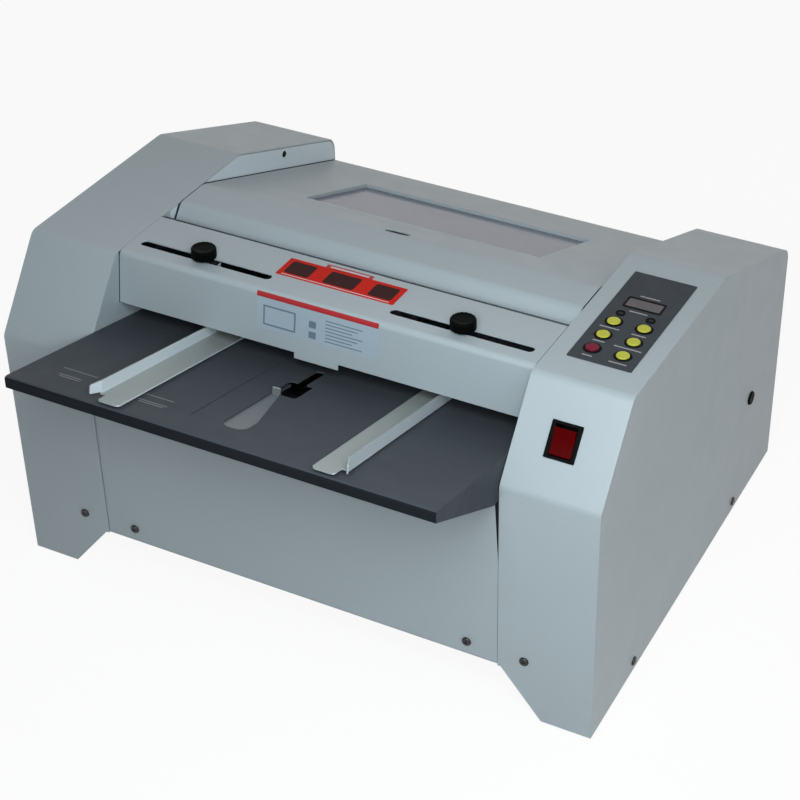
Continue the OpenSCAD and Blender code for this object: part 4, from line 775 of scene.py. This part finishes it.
bm = bmesh.new()
bmesh.ops.create_grid(bm, x_segments=2, y_segments=2, size=FLOOR_HALF)
floor_mesh = bpy.data.meshes.new("floor")
bm.to_mesh(floor_mesh)
bm.free()
floor = bpy.data.objects.new("floor", floor_mesh)
scene.collection.objects.link(floor)
floor_look = bpy.data.materials.new("floor_look")
floor_look.use_nodes = True
tree = floor_look.node_tree
tree.nodes.clear()
out = tree.nodes.new("ShaderNodeOutputMaterial")
diffuse = tree.nodes.new("ShaderNodeBsdfDiffuse")
diffuse.inputs["Color"].default_value = (0.85, 0.85, 0.85, 1)
glow = tree.nodes.new("ShaderNodeEmission")
glow.inputs["Color"].default_value = (1, 1, 1, 1)
mix = tree.nodes.new("ShaderNodeMixShader")
ray = tree.nodes.new("ShaderNodeLightPath")
share = tree.nodes.new("ShaderNodeMath")
share.operation = "MULTIPLY"
share.inputs[1].default_value = FLOOR_GLOW
tree.links.new(seen_straight(tree, ray), share.inputs[0])
tree.links.new(share.outputs[0], mix.inputs[0])
tree.links.new(diffuse.outputs[0], mix.inputs[1])
tree.links.new(glow.outputs[0], mix.inputs[2])
tree.links.new(mix.outputs[0], out.inputs[0])
floor.data.materials.append(floor_look)


def area_light(name, place, target, size, power, colour):
    """A round lamp in metres and watts that faces its target."""
    data = bpy.data.lights.new(name, "AREA")
    data.shape = "DISK"
    data.size = size
    data.energy = power
    data.color = colour
    obj = bpy.data.objects.new(name, data)
    scene.collection.objects.link(obj)
    obj.location = place
    obj.rotation_euler = (Vector(target) - Vector(place)).to_track_quat("-Z", "Y").to_euler()


area_light("near", (0.35, -0.65, 0.85), (0.1, 0, 0.25), 0.55, 8.2, COOL)
area_light("side", (0.95, -0.75, 0.6), (0.1, 0, 0.2), 0.6, 2.0, COOL)
area_light("right", (1.6, 0.8, 1.2), (0.1, 0, 0.2), 1.2, 3.6, (1.0, 0.9, 0.86))
area_light("left", (-1.8, 0.4, 0.9), (0, 0, 0.2), 1.2, 5.0, (1.0, 1.0, 1.0))
area_light("back", (1.2, 2.2, 2.0), (0, 0, 0.2), 1.6, 14.0, (1.0, 0.98, 0.95))

world = bpy.data.worlds.new("studio")
scene.world = world
world.use_nodes = True
tree = world.node_tree
tree.nodes.clear()
out = tree.nodes.new("ShaderNodeOutputWorld")
ground = tree.nodes.new("ShaderNodeBackground")
ground.inputs["Color"].default_value = (0.92, 0.96, 1.0, 1)
ground.inputs["Strength"].default_value = WORLD_LIGHT
backdrop = tree.nodes.new("ShaderNodeBackground")
backdrop.inputs["Color"].default_value = (1, 1, 1, 1)
backdrop.inputs["Strength"].default_value = 1.0
mix = tree.nodes.new("ShaderNodeMixShader")
ray = tree.nodes.new("ShaderNodeLightPath")
tree.links.new(seen_straight(tree, ray), mix.inputs[0])
tree.links.new(ground.outputs[0], mix.inputs[1])
tree.links.new(backdrop.outputs[0], mix.inputs[2])
tree.links.new(mix.outputs[0], out.inputs[0])
